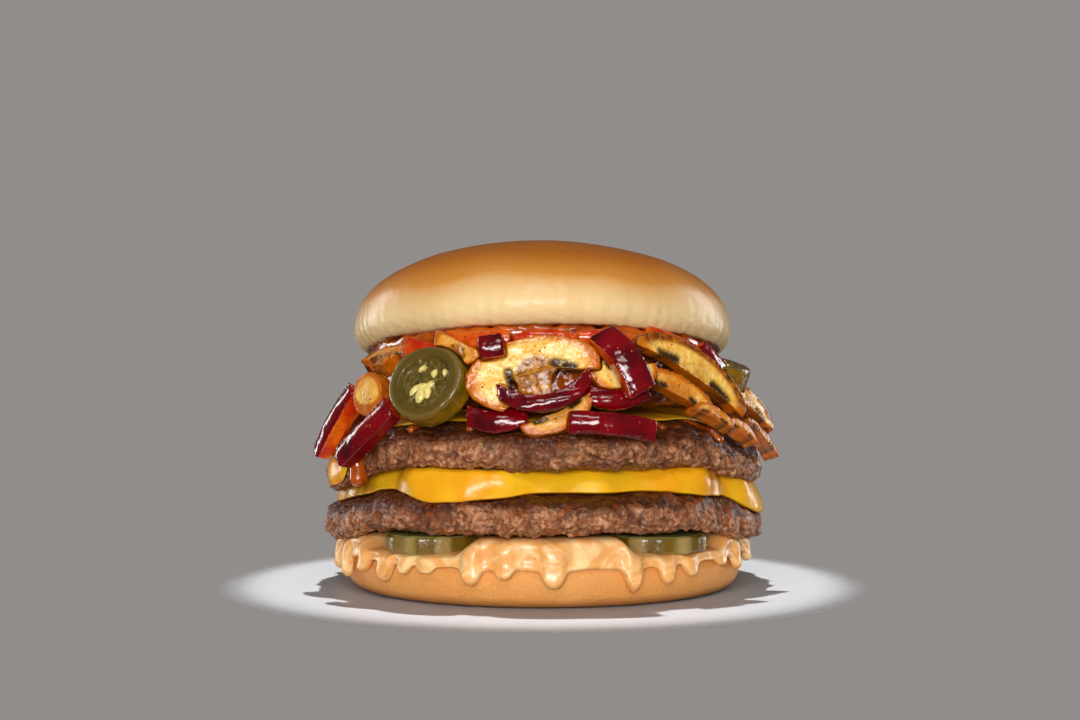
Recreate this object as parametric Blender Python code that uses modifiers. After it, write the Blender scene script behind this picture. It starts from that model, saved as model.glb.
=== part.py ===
"""Chili cheeseburger with two patties, melted cheese, pickles, sauce and a fried topping.

The burger stands on the flat bottom of its heel, which is z = 0, and its axis is the
Z axis. The front, where the topping bulges most, looks along -Y. Sizes are in metres.
"""
import math
import random

import bmesh
import bpy
from mathutils import Matrix, Vector, noise
from mathutils.bvhtree import BVHTree

MM = 0.001
GAP = 0.3 * MM
FLAT_ANGLE = math.radians(1.0)
WELD = 0.0005 * MM

# Heel, the lower half of the bun
HEEL_FLAT_RADIUS = 48.0 * MM
HEEL_RADIUS = 53.5 * MM
HEEL_WIDEST = 7.4 * MM
HEEL_TOP = 12.0 * MM
HEEL_STEPS = 40

# Crown, the upper half of the bun, leaning back over the topping
CROWN_RADIUS = 51.0 * MM
CROWN_HEIGHT = 28.7 * MM
CROWN_WIDEST = 6.0 * MM
CROWN_CUT_RADIUS = 46.0 * MM
CROWN_POWER = 2.2
CROWN_SEAT = 61.7 * MM
CROWN_LEAN = math.radians(8.5)
CROWN_STEPS = 40

# Patties
PATTY_SIDES = 48
PATTY_RINGS = 11
PATTY_CRAG = 1.1 * MM
CRAG_SIZE = 5.0 * MM
LOWER_PATTY = {"radius": 58.3 * MM, "low": 17.4 * MM, "high": 28.8 * MM, "dome": 0.0,
               "left": 5.5 * MM, "right": 5.5 * MM, "seed": 3.0}
UPPER_PATTY = {"radius": 58.0 * MM, "low": 33.0 * MM, "high": 44.8 * MM, "dome": 1.4 * MM,
               "left": 9.0 * MM, "right": 6.5 * MM, "seed": 11.0}
EDGE_ROUND = 0.35
FACE_FLAT = 0.55
DROOP_START = 35.0 * MM
DROOP_END = 59.0 * MM

# Cheese
CHEESE_RINGS = 10
LOWER_CHEESE_THICK = 3.4 * MM
UPPER_CHEESE_THICK = 2.0 * MM
LOWER_CHEESE_REST = 47.0
LOWER_CHEESE_HANGS = ((-24, 24, 28), (44, 20, 12), (82, 26, 32), (124, 22, 20),
                      (158, 20, 28), (200, 24, 22), (240, 20, 27), (272, 16, 10))
UPPER_CHEESE_REST = 62.0
UPPER_CHEESE_HANGS = ((-65, 34, 66), (115, 34, 60), (205, 34, 62))

# Sauce under the lower patty
SAUCE_TOP = 17.2 * MM
SAUCE_VALLEY = 10.0 * MM
DRIP_WIDTH = 3.3
FRONT_DRIPS = ((-83, 4.7), (-68, 3.9), (-56, 6.5), (-46, 5.0), (-39, 7.5), (-32, 8.1),
               (-18.6, 5.5), (-10, 7.2), (2.6, 5.2), (23.4, 3.8), (33.7, 5.6),
               (42, 6.9), (56, 8.3), (66, 6.6), (83, 6.7))
BACK_DRIPS = 11

# Topping
STRIP_THICK = 4.2 * MM
SLICE_THICK = 4.4 * MM
CORE_RADIUS = 44.0 * MM

COLOURS = {
    "bun": ((0.62, 0.36, 0.13, 1.0), 0.45),
    "crown": ((0.60, 0.27, 0.07, 1.0), 0.35),
    "meat": ((0.16, 0.075, 0.045, 1.0), 0.5),
    "cheese": ((0.85, 0.42, 0.03, 1.0), 0.3),
    "sauce": ((0.80, 0.47, 0.22, 1.0), 0.25),
    "pickle": ((0.17, 0.18, 0.04, 1.0), 0.35),
    "jalapeno": ((0.20, 0.20, 0.05, 1.0), 0.25),
    "pepper": ((0.26, 0.01, 0.015, 1.0), 0.2),
    "mushroom": ((0.72, 0.40, 0.12, 1.0), 0.25),
    "glaze": ((0.20, 0.06, 0.02, 1.0), 0.25),
}


def clear_scene():
    for item in list(bpy.data.objects):
        bpy.data.objects.remove(item, do_unlink=True)


def new_collection(name):
    group = bpy.data.collections.new(name)
    bpy.context.scene.collection.children.link(group)
    return group


def material(name):
    """One Principled material for each kind of food."""
    existing = bpy.data.materials.get(name)
    if existing:
        return existing
    colour, roughness = COLOURS[name]
    made = bpy.data.materials.new(name)
    made.use_nodes = True
    shader = made.node_tree.nodes["Principled BSDF"]
    shader.inputs["Base Color"].default_value = colour
    shader.inputs["Roughness"].default_value = roughness
    shader.inputs["Metallic"].default_value = 0.0
    return made


def add_object(name, mesh, group, finish):
    item = bpy.data.objects.new(name, mesh)
    mesh.materials.clear()
    mesh.materials.append(material(finish))
    group.objects.link(item)
    return item


def rank(items, key):
    """The place of each item in the order that the key gives."""
    return {item: number for number, item in enumerate(sorted(items, key=key))}


def in_order(bm):
    """Numbers vertices, edges and faces by where they lie, so that each build is the same."""
    bm.verts.sort(key=rank(bm.verts, lambda v: tuple(round(c / WELD) for c in v.co)).get)
    bm.verts.index_update()
    bm.edges.sort(key=rank(bm.edges, lambda e: sorted(v.index for v in e.verts)).get)
    bm.faces.sort(key=rank(bm.faces, lambda f: sorted(v.index for v in f.verts)).get)
    bm.edges.index_update()
    bm.faces.index_update()


def mesh_from(name, bm):
    in_order(bm)
    mesh = bpy.data.meshes.new(name)
    bm.to_mesh(mesh)
    bm.free()
    return mesh


def evaluated_mesh(item):
    """The object's mesh with its modifiers or its curve applied."""
    graph = bpy.context.evaluated_depsgraph_get()
    return bpy.data.meshes.new_from_object(item.evaluated_get(graph))


def smooth_step(low, high, value):
    share = min(1.0, max(0.0, (value - low) / (high - low)))
    return share * share * (3.0 - 2.0 * share)


def toward(azimuth):
    """Unit vector that points out at an azimuth, where 0 is the front and 90 is +X."""
    turn = math.radians(azimuth)
    return Vector((math.sin(turn), -math.cos(turn), 0.0))


# Turned bun halves

def turned(name, profile, steps, group, finish, move):
    """Turns a profile of (radius, height) about Z and passes each vertex through move."""
    mesh = bpy.data.meshes.new(name + "_profile")
    points = [(radius, 0.0, height) for radius, height in profile]
    mesh.from_pydata(points, [(i, i + 1) for i in range(len(points) - 1)], [])
    outline = bpy.data.objects.new(name + "_profile", mesh)
    group.objects.link(outline)
    screw = outline.modifiers.new("turn", "SCREW")
    screw.steps = steps
    screw.render_steps = steps
    screw.use_merge_vertices = True
    screw.merge_threshold = 0.00001
    solid = evaluated_mesh(outline)
    bpy.data.objects.remove(outline, do_unlink=True)
    for vertex in solid.vertices:
        vertex.co = move(vertex.co)
    return add_object(name, solid, group, finish)


def heel_profile():
    """Down the side: flat top, rounded shoulder, bulging side, rounded flat bottom."""
    shoulder = HEEL_TOP - HEEL_WIDEST
    side = [(HEEL_RADIUS - 2.6 * MM * (1.0 - math.cos(a)), HEEL_WIDEST + shoulder * math.sin(a))
            for a in (math.radians(d) for d in (90, 60, 30, 0))]
    under = [(HEEL_FLAT_RADIUS + (HEEL_RADIUS - HEEL_FLAT_RADIUS) * math.cos(a) ** 0.7,
              HEEL_WIDEST * (1.0 - math.sin(a)))
             for a in (math.radians(d) for d in (26, 52, 76))]
    return [(0.0, HEEL_TOP)] + side + under + [(HEEL_FLAT_RADIUS, 0.0), (0.0, 0.0)]


def heel_radius(height):
    """Radius of the heel's side at a height."""
    if height >= HEEL_WIDEST:
        share = min(1.0, (height - HEEL_WIDEST) / (HEEL_TOP - HEEL_WIDEST))
        return HEEL_RADIUS - 2.6 * MM * (1.0 - math.sqrt(1.0 - share * share))
    sine = 1.0 - height / HEEL_WIDEST
    cosine = math.sqrt(max(0.0, 1.0 - sine * sine))
    return HEEL_FLAT_RADIUS + (HEEL_RADIUS - HEEL_FLAT_RADIUS) * cosine ** 0.7


def crown_profile():
    """Down the side: apex, dome, widest ring, curled rim and the cut face."""
    dome = CROWN_HEIGHT - CROWN_WIDEST
    points = [(0.0, CROWN_HEIGHT)]
    for degree in (14, 28, 42, 55, 67, 78, 90):
        turn = math.radians(degree)
        points.append((CROWN_RADIUS * math.sin(turn) ** (2.0 / CROWN_POWER),
                       CROWN_WIDEST + dome * math.cos(turn) ** (2.0 / CROWN_POWER)))
    for degree in (30, 60, 90):
        turn = math.radians(degree)
        points.append((CROWN_CUT_RADIUS + (CROWN_RADIUS - CROWN_CUT_RADIUS) * math.cos(turn),
                       CROWN_WIDEST * (1.0 - math.sin(turn))))
    return points + [(0.0, 0.0)]


def crown_place(point):
    """Leans the crown back over the topping and makes it a little uneven."""
    turn = math.atan2(point.y, point.x)
    swell = 1.0 + 0.008 * math.sin(2 * turn + 0.6) + 0.005 * math.sin(3 * turn)
    lean = Matrix.Rotation(-CROWN_LEAN, 4, "X")
    shaped = Vector((point.x * swell, point.y * swell, point.z))
    return lean @ shaped + Vector((0.0, 0.0, CROWN_SEAT))


# Layers, each a sphere whose rings are moved to the layer's own surface

def layer_body(name, sides, rings, place, group, finish):
    bm = bmesh.new()
    bmesh.ops.create_uvsphere(bm, u_segments=sides, v_segments=rings, radius=1.0)
    for vertex in bm.verts:
        side = math.degrees(math.atan2(vertex.co.x, -vertex.co.y))
        latitude = math.asin(max(-1.0, min(1.0, vertex.co.z)))
        vertex.co = place(side, latitude)
    bmesh.ops.triangulate(bm, faces=bm.faces)
    return add_object(name, mesh_from(name, bm), group, finish)


def droop(patty, x, y):
    """How far a patty hangs down at its left and right ends, and a little all round."""
    left = patty["left"] * smooth_step(DROOP_START, DROOP_END, -x)
    right = patty["right"] * smooth_step(DROOP_START, DROOP_END, x)
    back = 2.0 * MM * smooth_step(DROOP_START, DROOP_END, y)
    return left + right + back


def patty_radius(patty, azimuth):
    """A patty isn't quite round."""
    wave = noise.noise(toward(azimuth) * 2.2 + Vector((0.0, 0.0, patty["seed"])))
    return patty["radius"] * (1.0 + 0.022 * wave)


def crag_share(reach_share):
    """The crags lie on the side and fade out over the flat faces."""
    return smooth_step(0.78, 0.95, reach_share)


def clearance(reach_share):
    """How far a smooth layer stays from a patty, so that the crags don't touch it."""
    return 1.5 * GAP + 0.8 * PATTY_CRAG * crag_share(reach_share)


def patty_point(patty, azimuth, latitude, out=0.0, crag=1.0):
    """A point of a patty's surface, moved out along its rounded section."""
    cosine = max(0.0, math.cos(latitude))
    sine = math.sin(latitude)
    ray = toward(azimuth)
    half = (patty["high"] - patty["low"]) / 2.0
    middle = (patty["high"] + patty["low"]) / 2.0
    side = cosine ** EDGE_ROUND
    height = half * math.copysign(abs(sine) ** FACE_FLAT, sine)
    spot = ray * patty_radius(patty, azimuth) * side + Vector((0.0, 0.0, middle + height))
    if sine > 0:
        spot.z += patty["dome"] * (1.0 - cosine ** 0.7)
    rough = noise.fractal(spot / CRAG_SIZE + Vector((patty["seed"], 0.0, 0.0)), 1.0, 2.0, 2)
    rough = min(0.8, rough)
    normal = (ray * cosine ** 0.8 + Vector((0.0, 0.0, sine))).normalized()
    spot += normal * (PATTY_CRAG * rough * crag * crag_share(side) + out)
    spot.z -= droop(patty, spot.x, spot.y)
    return spot


def patty_face(patty, x, y, sign):
    """Height of a patty's upper face, sign 1, or lower face, sign -1, at a place."""
    share = min(1.0, math.hypot(x, y) / patty_radius(patty, math.degrees(math.atan2(x, -y))))
    cosine = share ** (1.0 / EDGE_ROUND)
    half = (patty["high"] - patty["low"]) / 2.0
    middle = (patty["high"] + patty["low"]) / 2.0
    height = middle + sign * half * math.sqrt(max(0.0, 1.0 - cosine * cosine)) ** FACE_FLAT
    if sign > 0:
        height += patty["dome"] * (1.0 - cosine ** 0.7)
    return height - droop(patty, x, y)


def face_clearance(patty, x, y):
    return clearance(math.hypot(x, y) / patty["radius"])


def spread_latitude(share):
    """Latitude from a share of the way to a pole: most rings lie on the craggy side."""
    return math.copysign(abs(share) ** 1.5 * math.pi / 2, share)


def make_patty(name, patty, group):
    """A flat round of ground meat."""
    def place(azimuth, latitude):
        return patty_point(patty, azimuth, spread_latitude(latitude / (math.pi / 2)))
    return layer_body(name, PATTY_SIDES, PATTY_RINGS, place, group, "meat")


def hanging_edge(azimuth, rest, hangs):
    """Latitude on a patty down to which the cheese on it reaches, in radians."""
    lowest = 0.0
    for centre, width, depth in hangs:
        off = abs((azimuth - centre + 180) % 360 - 180)
        lowest = max(lowest, depth * (1.0 - smooth_step(0.0, width, off)))
    return math.radians(rest - lowest)


def lower_cheese_edge(azimuth):
    return hanging_edge(azimuth, LOWER_CHEESE_REST, LOWER_CHEESE_HANGS)


def upper_cheese_edge(azimuth):
    """The upper slice is square and off centre: three of its corners hang over."""
    return hanging_edge(azimuth, UPPER_CHEESE_REST, UPPER_CHEESE_HANGS)


def make_cheese(name, patty, edge, thick, cover, group):
    """A sheet that follows the rings of the patty below it down to its own edge."""
    last = CHEESE_RINGS // 2

    def place(azimuth, latitude):
        ring = round((1.0 - abs(latitude) / (math.pi / 2)) * last)
        shared = spread_latitude(1.0 - 2.0 * ring / PATTY_RINGS)
        follow = max(shared, edge(azimuth) + math.radians(2.0 * (last - ring)))
        follow = edge(azimuth) if ring == last else follow
        clear = clearance(math.cos(follow) ** EDGE_ROUND)
        if latitude < 0:
            return patty_point(patty, azimuth, follow, clear, 0.0)
        full = thick * (1.0, 1.0, 1.0, 1.0, 0.75, 0.15)[ring]
        spot = patty_point(patty, azimuth, follow, clear + full, 0.0)
        if cover:
            spot.z = min(spot.z, patty_point(cover, azimuth, -follow, clear, 0.0).z)
        return spot

    return layer_body(name, PATTY_SIDES, CHEESE_RINGS, place, group, "cheese")


def drips():
    """Drips as (azimuth, height of the tip): the front ones by eye, the rest by a rule."""
    draw = random.Random(7)
    listed = [(azimuth, low * MM) for azimuth, low in FRONT_DRIPS]
    for number in range(BACK_DRIPS):
        azimuth = 97 + number * (263 - 97) / (BACK_DRIPS - 1) + draw.uniform(-3, 3)
        listed.append(((azimuth + 180) % 360 - 180, draw.uniform(4.0, 8.0) * MM))
    return listed


def drip_share(azimuth, drip_list):
    """How far down the sauce runs at an azimuth, and the tip's height."""
    best = 0.0
    for centre, low in drip_list:
        off = abs((azimuth - centre + 180) % 360 - 180) / DRIP_WIDTH
        if off < 1.0:
            best = max(best, (SAUCE_VALLEY - low) * math.sqrt(1.0 - off ** 2.4))
    return best


def sauce_azimuths(drip_list):
    """Azimuths at each drip's tip and flanks, and in the valleys between the drips."""
    marks = []
    for centre, _ in drip_list:
        for step in (-1.0, -0.65, 0.0, 0.65, 1.0):
            marks.append((centre + step * DRIP_WIDTH + 360) % 360)
    marks.sort()
    kept = [marks[0]]
    for mark in marks[1:]:
        if mark - kept[-1] > 1.2:
            kept.append(mark)
    filled = []
    for here, after in zip(kept, kept[1:] + [kept[0] + 360]):
        filled.append(here)
        if after - here > 5.0:
            filled.append((here + after) / 2)
    return filled


def sauce_section(azimuth, drip_list):
    """Radius and height round the sauce, from its top near the axis to its underside."""
    run = drip_share(azimuth, drip_list)
    low = SAUCE_VALLEY - run
    thick = (1.4 + 1.0 * min(1.0, run / (4 * MM))) * MM
    rim = HEEL_RADIUS - 0.9 * MM
    ray = toward(azimuth)

    def top(radius):
        x, y = radius * ray.x, radius * ray.y
        under = patty_face(LOWER_PATTY, x, y, -1) - face_clearance(LOWER_PATTY, x, y)
        return min(SAUCE_TOP, under - GAP)

    def level(share):
        return top(rim) * (1.0 - share) + low * share

    def wall(height, extra):
        return max(heel_radius(height), rim if height > HEEL_WIDEST else 0.0) + extra

    back = 0.4 * low + 0.6 * HEEL_TOP
    return ((rim, top(rim)),
            (wall(HEEL_WIDEST, thick), level(0.22)), (wall(level(0.7), thick), level(0.7)),
            (wall(low, 0.75 * thick), level(0.95)), (wall(low, 1.5 * GAP), low),
            (wall(back, 1.5 * GAP), back), (rim, HEEL_TOP + 1.1 * GAP))


def make_sauce(group):
    """A layer on the heel whose rim runs down the side in thick drips."""
    drip_list = drips()
    azimuths = sauce_azimuths(drip_list)
    count = len(azimuths)
    sections = [sauce_section(azimuth, drip_list) for azimuth in azimuths]
    rings = len(sections[0])

    def place(side, latitude):
        number = round((side % 360) / 360 * count) % count
        ring = round((0.5 - latitude / math.pi) * (rings + 1))
        if ring == 0:
            return Vector((0.0, 0.0, SAUCE_TOP))
        if ring == rings + 1:
            return Vector((0.0, 0.0, HEEL_TOP + 1.1 * GAP))
        radius, height = sections[number][ring - 1]
        return toward(azimuths[number]) * radius + Vector((0.0, 0.0, height))

    return layer_body("burger_sauce", count, rings + 1, place, group, "sauce")


def make_core(group):
    """The glazed middle of the topping, which the slices and strips lie against."""
    steps = ((0.55, 1.0), (0.93, 1.0), (1.0, 0.8), (1.02, 0.5), (1.02, 0.2), (0.96, 0.0), (0.6, 0.0))
    rings = len(steps)

    def place(azimuth, latitude):
        ring = round((0.5 - latitude / math.pi) * (rings + 1))
        reach, rise = steps[ring - 1] if 0 < ring <= rings else (0.0, 1.0 if ring == 0 else 0.0)
        lump = noise.noise(toward(azimuth) * 5.0 + Vector((0.0, 0.0, rise * 2.0)))
        spot = toward(azimuth) * reach * (CORE_RADIUS + 2.0 * MM * lump)
        low = (patty_face(UPPER_PATTY, spot.x, spot.y, 1) + UPPER_CHEESE_THICK
               + face_clearance(UPPER_PATTY, spot.x, spot.y) + 3 * GAP)
        high = CROWN_SEAT - spot.y * math.tan(CROWN_LEAN) - 1.5 * GAP
        spot.z = low * (1.0 - rise) + high * rise
        return spot

    return layer_body("glaze_core", 36, rings + 1, place, group, "glaze")


# Slices and strips of the topping

def placed(centre, azimuth, lean, roll):
    """Turns a piece drawn in XY so that it faces out at an azimuth and looks up by lean."""
    return (Matrix.Translation(Vector(centre) * MM)
            @ Matrix.Rotation(math.radians(azimuth), 4, "Z")
            @ Matrix.Rotation(math.radians(90.0 - lean), 4, "X")
            @ Matrix.Rotation(math.radians(roll), 4, "Z"))


def cap_outline(width, height, curl_left, curl_right, stem):
    """Outline of a mushroom slice: the cap's arc, its curled lips, gills and stem."""
    half = width / 2.0
    points = []
    for step in range(15):
        degree = -curl_right + step * (180.0 + curl_left + curl_right) / 14
        turn = math.radians(degree)
        rise = math.sin(turn)
        tall = height if rise > 0 else 0.58
        points.append((half * math.cos(turn), half * tall * rise))
    left = math.radians(180.0 + curl_left)
    right = math.radians(-curl_right)
    points.append((half * 0.62 * math.cos(left), half * (0.5 * math.sin(left) + 0.04)))
    points.append((-half * 0.36, -half * 0.02))
    if stem > 0:
        points.append((-half * 0.24, -half * 0.12))
        points.append((-half * 0.22, -half * stem))
        points.append((half * 0.20, -half * stem))
        points.append((half * 0.24, -half * 0.12))
    points.append((half * 0.36, -half * 0.02))
    points.append((half * 0.62 * math.cos(right), half * (0.5 * math.sin(right) + 0.04)))
    return points


def oval_outline(width, height):
    """A round or oval slice."""
    return [(width / 2 * math.cos(math.radians(d)), width / 2 * height * math.sin(math.radians(d)))
            for d in range(0, 360, 24)]


def wedge_outline(width, height):
    """A slice of stem that narrows to one side."""
    half = width / 2.0
    return [(-half, 0.42 * half * height * 2), (-half * 0.9, -0.1 * half),
            (-half * 0.35, -half * height), (half * 0.3, -half * height * 0.9),
            (half * 0.9, -half * 0.25), (half, half * 0.1), (0.1 * half, half * 0.3)]


def flat_slice(name, outline, thick, cup, spot, group):
    """A flat outline with thickness, cupped a little, and put in its place."""
    curve = bpy.data.curves.new(name, "CURVE")
    curve.dimensions = "2D"
    curve.fill_mode = "BOTH"
    curve.extrude = thick / 2.0
    spline = curve.splines.new("POLY")
    spline.points.add(len(outline) - 1)
    for point, (x, y) in zip(spline.points, outline):
        point.co = (x, y, 0.0, 1.0)
    spline.use_cyclic_u = True
    drawn = bpy.data.objects.new(name + "_outline", curve)
    group.objects.link(drawn)
    mesh = evaluated_mesh(drawn)
    bpy.data.objects.remove(drawn, do_unlink=True)
    bm = bmesh.new()
    bm.from_mesh(mesh)
    bmesh.ops.remove_doubles(bm, verts=bm.verts, dist=0.00001)
    bmesh.ops.triangulate(bm, faces=bm.faces)
    for vertex in bm.verts:
        vertex.co.z -= cup * (vertex.co.x / 0.017) ** 2
        vertex.co = spot @ vertex.co
    if bm.calc_volume(signed=True) < 0:
        bmesh.ops.reverse_faces(bm, faces=bm.faces)
    return add_object(name, mesh_from(name, bm), group, "mushroom")


def strip(name, length, width, bow, wrap, spot, group):
    """A strip of pepper: a bent sheet with thickness, its skin on the outside."""
    cells = max(3, round(length / (3.2 * MM)))
    bm = bmesh.new()
    bmesh.ops.create_grid(bm, x_segments=cells, y_segments=1, size=1.0)
    for vertex in bm.verts:
        along = vertex.co.x
        vertex.co = Vector((along * length / 2, vertex.co.y * width / 2 + bow * along * along,
                            -wrap * along * along))
    item = add_object(name, mesh_from(name, bm), group, "pepper")
    wall = item.modifiers.new("flesh", "SOLIDIFY")
    wall.thickness = STRIP_THICK
    wall.offset = 0.0
    wall.use_even_offset = True
    mesh = evaluated_mesh(item)
    bpy.data.objects.remove(item, do_unlink=True)
    mesh.transform(spot)
    return add_object(name, mesh, group, "pepper")


def round_slice(name, radius, thick, spot, group, finish, sides=20):
    """A slice across a jalapeno or a pickle, with its cut edges softened."""
    bm = bmesh.new()
    bmesh.ops.create_cone(bm, cap_ends=True, segments=sides, radius1=radius,
                          radius2=radius, depth=thick)
    for vertex in bm.verts:
        turn = math.atan2(vertex.co.y, vertex.co.x)
        uneven = 1.0 + 0.035 * math.cos(2 * turn + 0.5) + 0.02 * math.cos(3 * turn)
        vertex.co.x *= uneven
        vertex.co.y *= uneven
    rims = [edge for edge in bm.edges if abs(edge.verts[0].co.z - edge.verts[1].co.z) < 0.1 * MM]
    bmesh.ops.bevel(bm, geom=rims, offset=0.5 * MM, segments=1, affect="EDGES")
    bmesh.ops.transform(bm, matrix=spot, verts=bm.verts)
    return add_object(name, mesh_from(name, bm), group, finish)


# name, width, height share, left curl, right curl, stem, centre, azimuth, lean, roll
CAP_SLICES = (
    ("mushroom_front", 33.4, 0.50, 58, 16, 0.52, (-2.6, -54.8, 57.4), 0, 8, 12),
    ("mushroom_behind_pepper", 18.0, 0.75, 25, 25, 0.0, (18.8, -50.6, 58.4), 12, 8, 172),
    ("mushroom_under_crown", 18.0, 0.55, 12, 12, 0.5, (-38.5, -34.0, 60.0), -48, 55, 10),
    ("mushroom_glazed_lip", 19.0, 0.52, 8, 8, 0.0, (3.2, -56.6, 47.8), 0, 14, 207),
    ("mushroom_long_right", 36.0, 0.38, 10, 10, 0.0, (36.6, -42.8, 56.2), 33, 12, -32),
    ("mushroom_second_right", 23.0, 0.45, 10, 10, 0.0, (32.2, -45.6, 51.4), 30, 16, -28),
    ("mushroom_side_right", 26.0, 0.42, 12, 12, 0.0, (51.0, -26.0, 48.4), 55, 20, -30),
    ("mushroom_small_right", 13.0, 0.5, 8, 8, 0.0, (41.0, -44.0, 45.6), 42, 25, -28),
    ("mushroom_crumb_right", 11.0, 0.6, 8, 8, 0.0, (48.6, -37.6, 41.6), 50, 25, -35),
    ("mushroom_tip_right", 17.0, 0.36, 6, 6, 0.0, (55.6, -22.4, 39.6), 64, 22, -40),
)

# name, length, width, bow, wrap, centre, azimuth, lean, roll
STRIPS = (
    ("pepper_front_curve", 22.0, 4.3, 5.0, 1.5, (1.0, -60.2, 50.0), 0, 6, 10),
    ("pepper_front_slope", 17.0, 7.4, -0.8, 2.0, (19.6, -56.0, 60.4), 12, 26, -62),
    ("pepper_on_patty", 20.5, 5.4, -0.5, 1.6, (16.4, -59.4, 45.0), 10, 8, -6),
    ("pepper_under_mushroom", 15.0, 5.0, 2.5, 1.2, (17.8, -54.4, 50.6), 12, 8, 4),
    ("pepper_dark_loop", 14.0, 5.4, 2.0, 1.2, (-11.0, -54.6, 45.2), -10, 8, 2),
    ("pepper_left_outer", 20.0, 6.2, 1.0, 1.0, (-53.0, -25.6, 44.2), -60, 18, 60),
    ("pepper_left_inner", 20.0, 6.0, 0.8, 1.0, (-43.6, -43.4, 41.8), -42, 14, 42),
    ("pepper_small_end", 6.0, 5.6, 0.0, 0.0, (-12.2, -55.0, 63.4), -8, 10, 10),
    ("pepper_left_under_crown", 9.0, 5.5, 0.0, 0.3, (-29.8, -42.6, 62.2), -30, 12, -10),
    ("pepper_right_flesh", 24.0, 6.4, -1.0, 1.6, (35.0, -35.4, 62.0), 38, 14, -24),
    ("pepper_right_skin", 12.0, 7.0, 0.0, 0.8, (42.6, -31.0, 58.4), 48, 12, -42),
    ("pepper_top_left", 16.0, 4.4, 0.8, 1.2, (-15.8, -46.2, 65.0), -16, 5, 2),
    ("pepper_top_middle", 15.0, 4.2, -1.6, 1.0, (0.4, -50.4, 65.8), 0, 5, 0),
    ("pepper_top_right", 15.0, 4.4, -0.8, 1.2, (15.4, -46.2, 65.4), 16, 5, -4),
)

# name, radius, thickness, centre, azimuth, lean, roll
JALAPENO_SLICES = (
    ("jalapeno_front", 9.9, 6.6, (-27.4, -50.0, 54.0), -28, 23, 25),
    ("jalapeno_right", 9.6, 7.0, (44.0, -21.5, 57.0), 62, 74, 0),
)

# name, radius, thickness, centre, turn about Z, tilt
PICKLES = (
    ("pickle_front_left", 12.6, 4.5, (-27.0, -33.6, 14.75), 20, 0.0),
    ("pickle_front_right", 12.4, 4.3, (28.4, -32.8, 14.6), -20, 0.0),
    ("pickle_back_right", 12.0, 4.0, (26.0, 34.0, 14.5), 0, 0.0),
    ("pickle_back_left", 12.2, 4.0, (-25.0, 34.6, 14.5), 30, 0.0),
)

# Side and back: kind, azimuth, radius and height of the centre, lean, roll
LOWER_RING = (
    ("cap", 84, 54.5, 44.6, 40, -22), ("strip", 102, 53.5, 45.4, 22, 28),
    ("cap", 120, 54.0, 45.0, 38, 14), ("strip", 139, 54.5, 44.6, 24, -32),
    ("round", 157, 52.5, 47.0, 30, 20), ("cap", 177, 54.0, 45.0, 36, -12),
    ("strip", 196, 54.0, 44.8, 24, 30), ("cap", 214, 53.5, 45.4, 38, 18),
    ("strip", 232, 54.5, 43.2, 26, -38), ("cap", 250, 54.5, 42.6, 40, 24),
    ("strip", 270, 54.5, 41.6, 24, -50),
)
UPPER_RING = (
    ("strip", 94, 45.0, 55.6, 10, -14), ("cap", 114, 45.5, 52.6, 30, 20),
    ("strip", 134, 45.0, 53.0, 12, 10), ("round", 188, 43.5, 51.4, 55, 0),
    ("strip", 210, 45.0, 52.4, 12, -12), ("cap", 232, 45.5, 52.4, 30, 160),
    ("strip", 256, 45.0, 54.6, 10, 16), ("cap", 276, 44.5, 55.4, 26, -12),
)


def topping_pieces(group):
    """All slices and strips, those that lie outermost first."""
    made = []
    for name, length, width, bow, wrap, centre, azimuth, lean, roll in STRIPS:
        spot = placed(centre, azimuth, lean, roll)
        made.append(strip(name, length * MM, width * MM, bow * MM, wrap * MM, spot, group))
    for name, radius, thick, centre, azimuth, lean, roll in JALAPENO_SLICES:
        spot = placed(centre, azimuth, lean, roll)
        made.append(round_slice(name, radius * MM, thick * MM, spot, group, "jalapeno"))
    for name, width, height, left, right, stem, centre, azimuth, lean, roll in CAP_SLICES:
        spot = placed(centre, azimuth, lean, roll)
        outline = cap_outline(width * MM, height, left, right, stem)
        made.append(flat_slice(name, outline, SLICE_THICK, 1.2 * MM, spot, group))
    spot = placed((-42.4, -39.2, 51.6), -42, 6, 0)
    made.append(flat_slice("mushroom_button_left", oval_outline(10.6 * MM, 1.06),
                           SLICE_THICK, 0.8 * MM, spot, group))
    spot = placed((-20.4, -50.4, 62.6), -18, 10, -14)
    made.append(flat_slice("mushroom_stem_left", wedge_outline(14.0 * MM, 0.62),
                           SLICE_THICK, 0.8 * MM, spot, group))
    for ring, rows in (("lower", LOWER_RING), ("upper", UPPER_RING)):
        made += ring_pieces(ring, rows, group)
    return made


def ring_pieces(ring, rows, group):
    """The pieces round the sides and the back, which follow the front ones in kind."""
    made = []
    for kind, azimuth, radius, height, lean, roll in rows:
        centre = toward(azimuth) * radius + Vector((0.0, 0.0, height))
        spot = placed(centre, azimuth, lean, roll)
        name = "_".join(({"cap": "mushroom", "strip": "pepper", "round": "jalapeno"}[kind],
                         ring, str(azimuth)))
        if kind == "cap":
            outline = cap_outline(22.0 * MM, 0.52, 20, 14, 0.45)
            made.append(flat_slice(name, outline, SLICE_THICK, 1.4 * MM, spot, group))
        elif kind == "strip":
            made.append(strip(name, 18.0 * MM, 5.6 * MM, 1.5 * MM, 1.6 * MM, spot, group))
        else:
            made.append(round_slice(name, 9.4 * MM, 5.6 * MM, spot, group, "jalapeno"))
    return made


# Cutting a piece free of the pieces that it lies against

def bvh_of(mesh):
    bm = bmesh.new()
    bm.from_mesh(mesh)
    tree = BVHTree.FromBMesh(bm)
    bm.free()
    return tree


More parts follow.
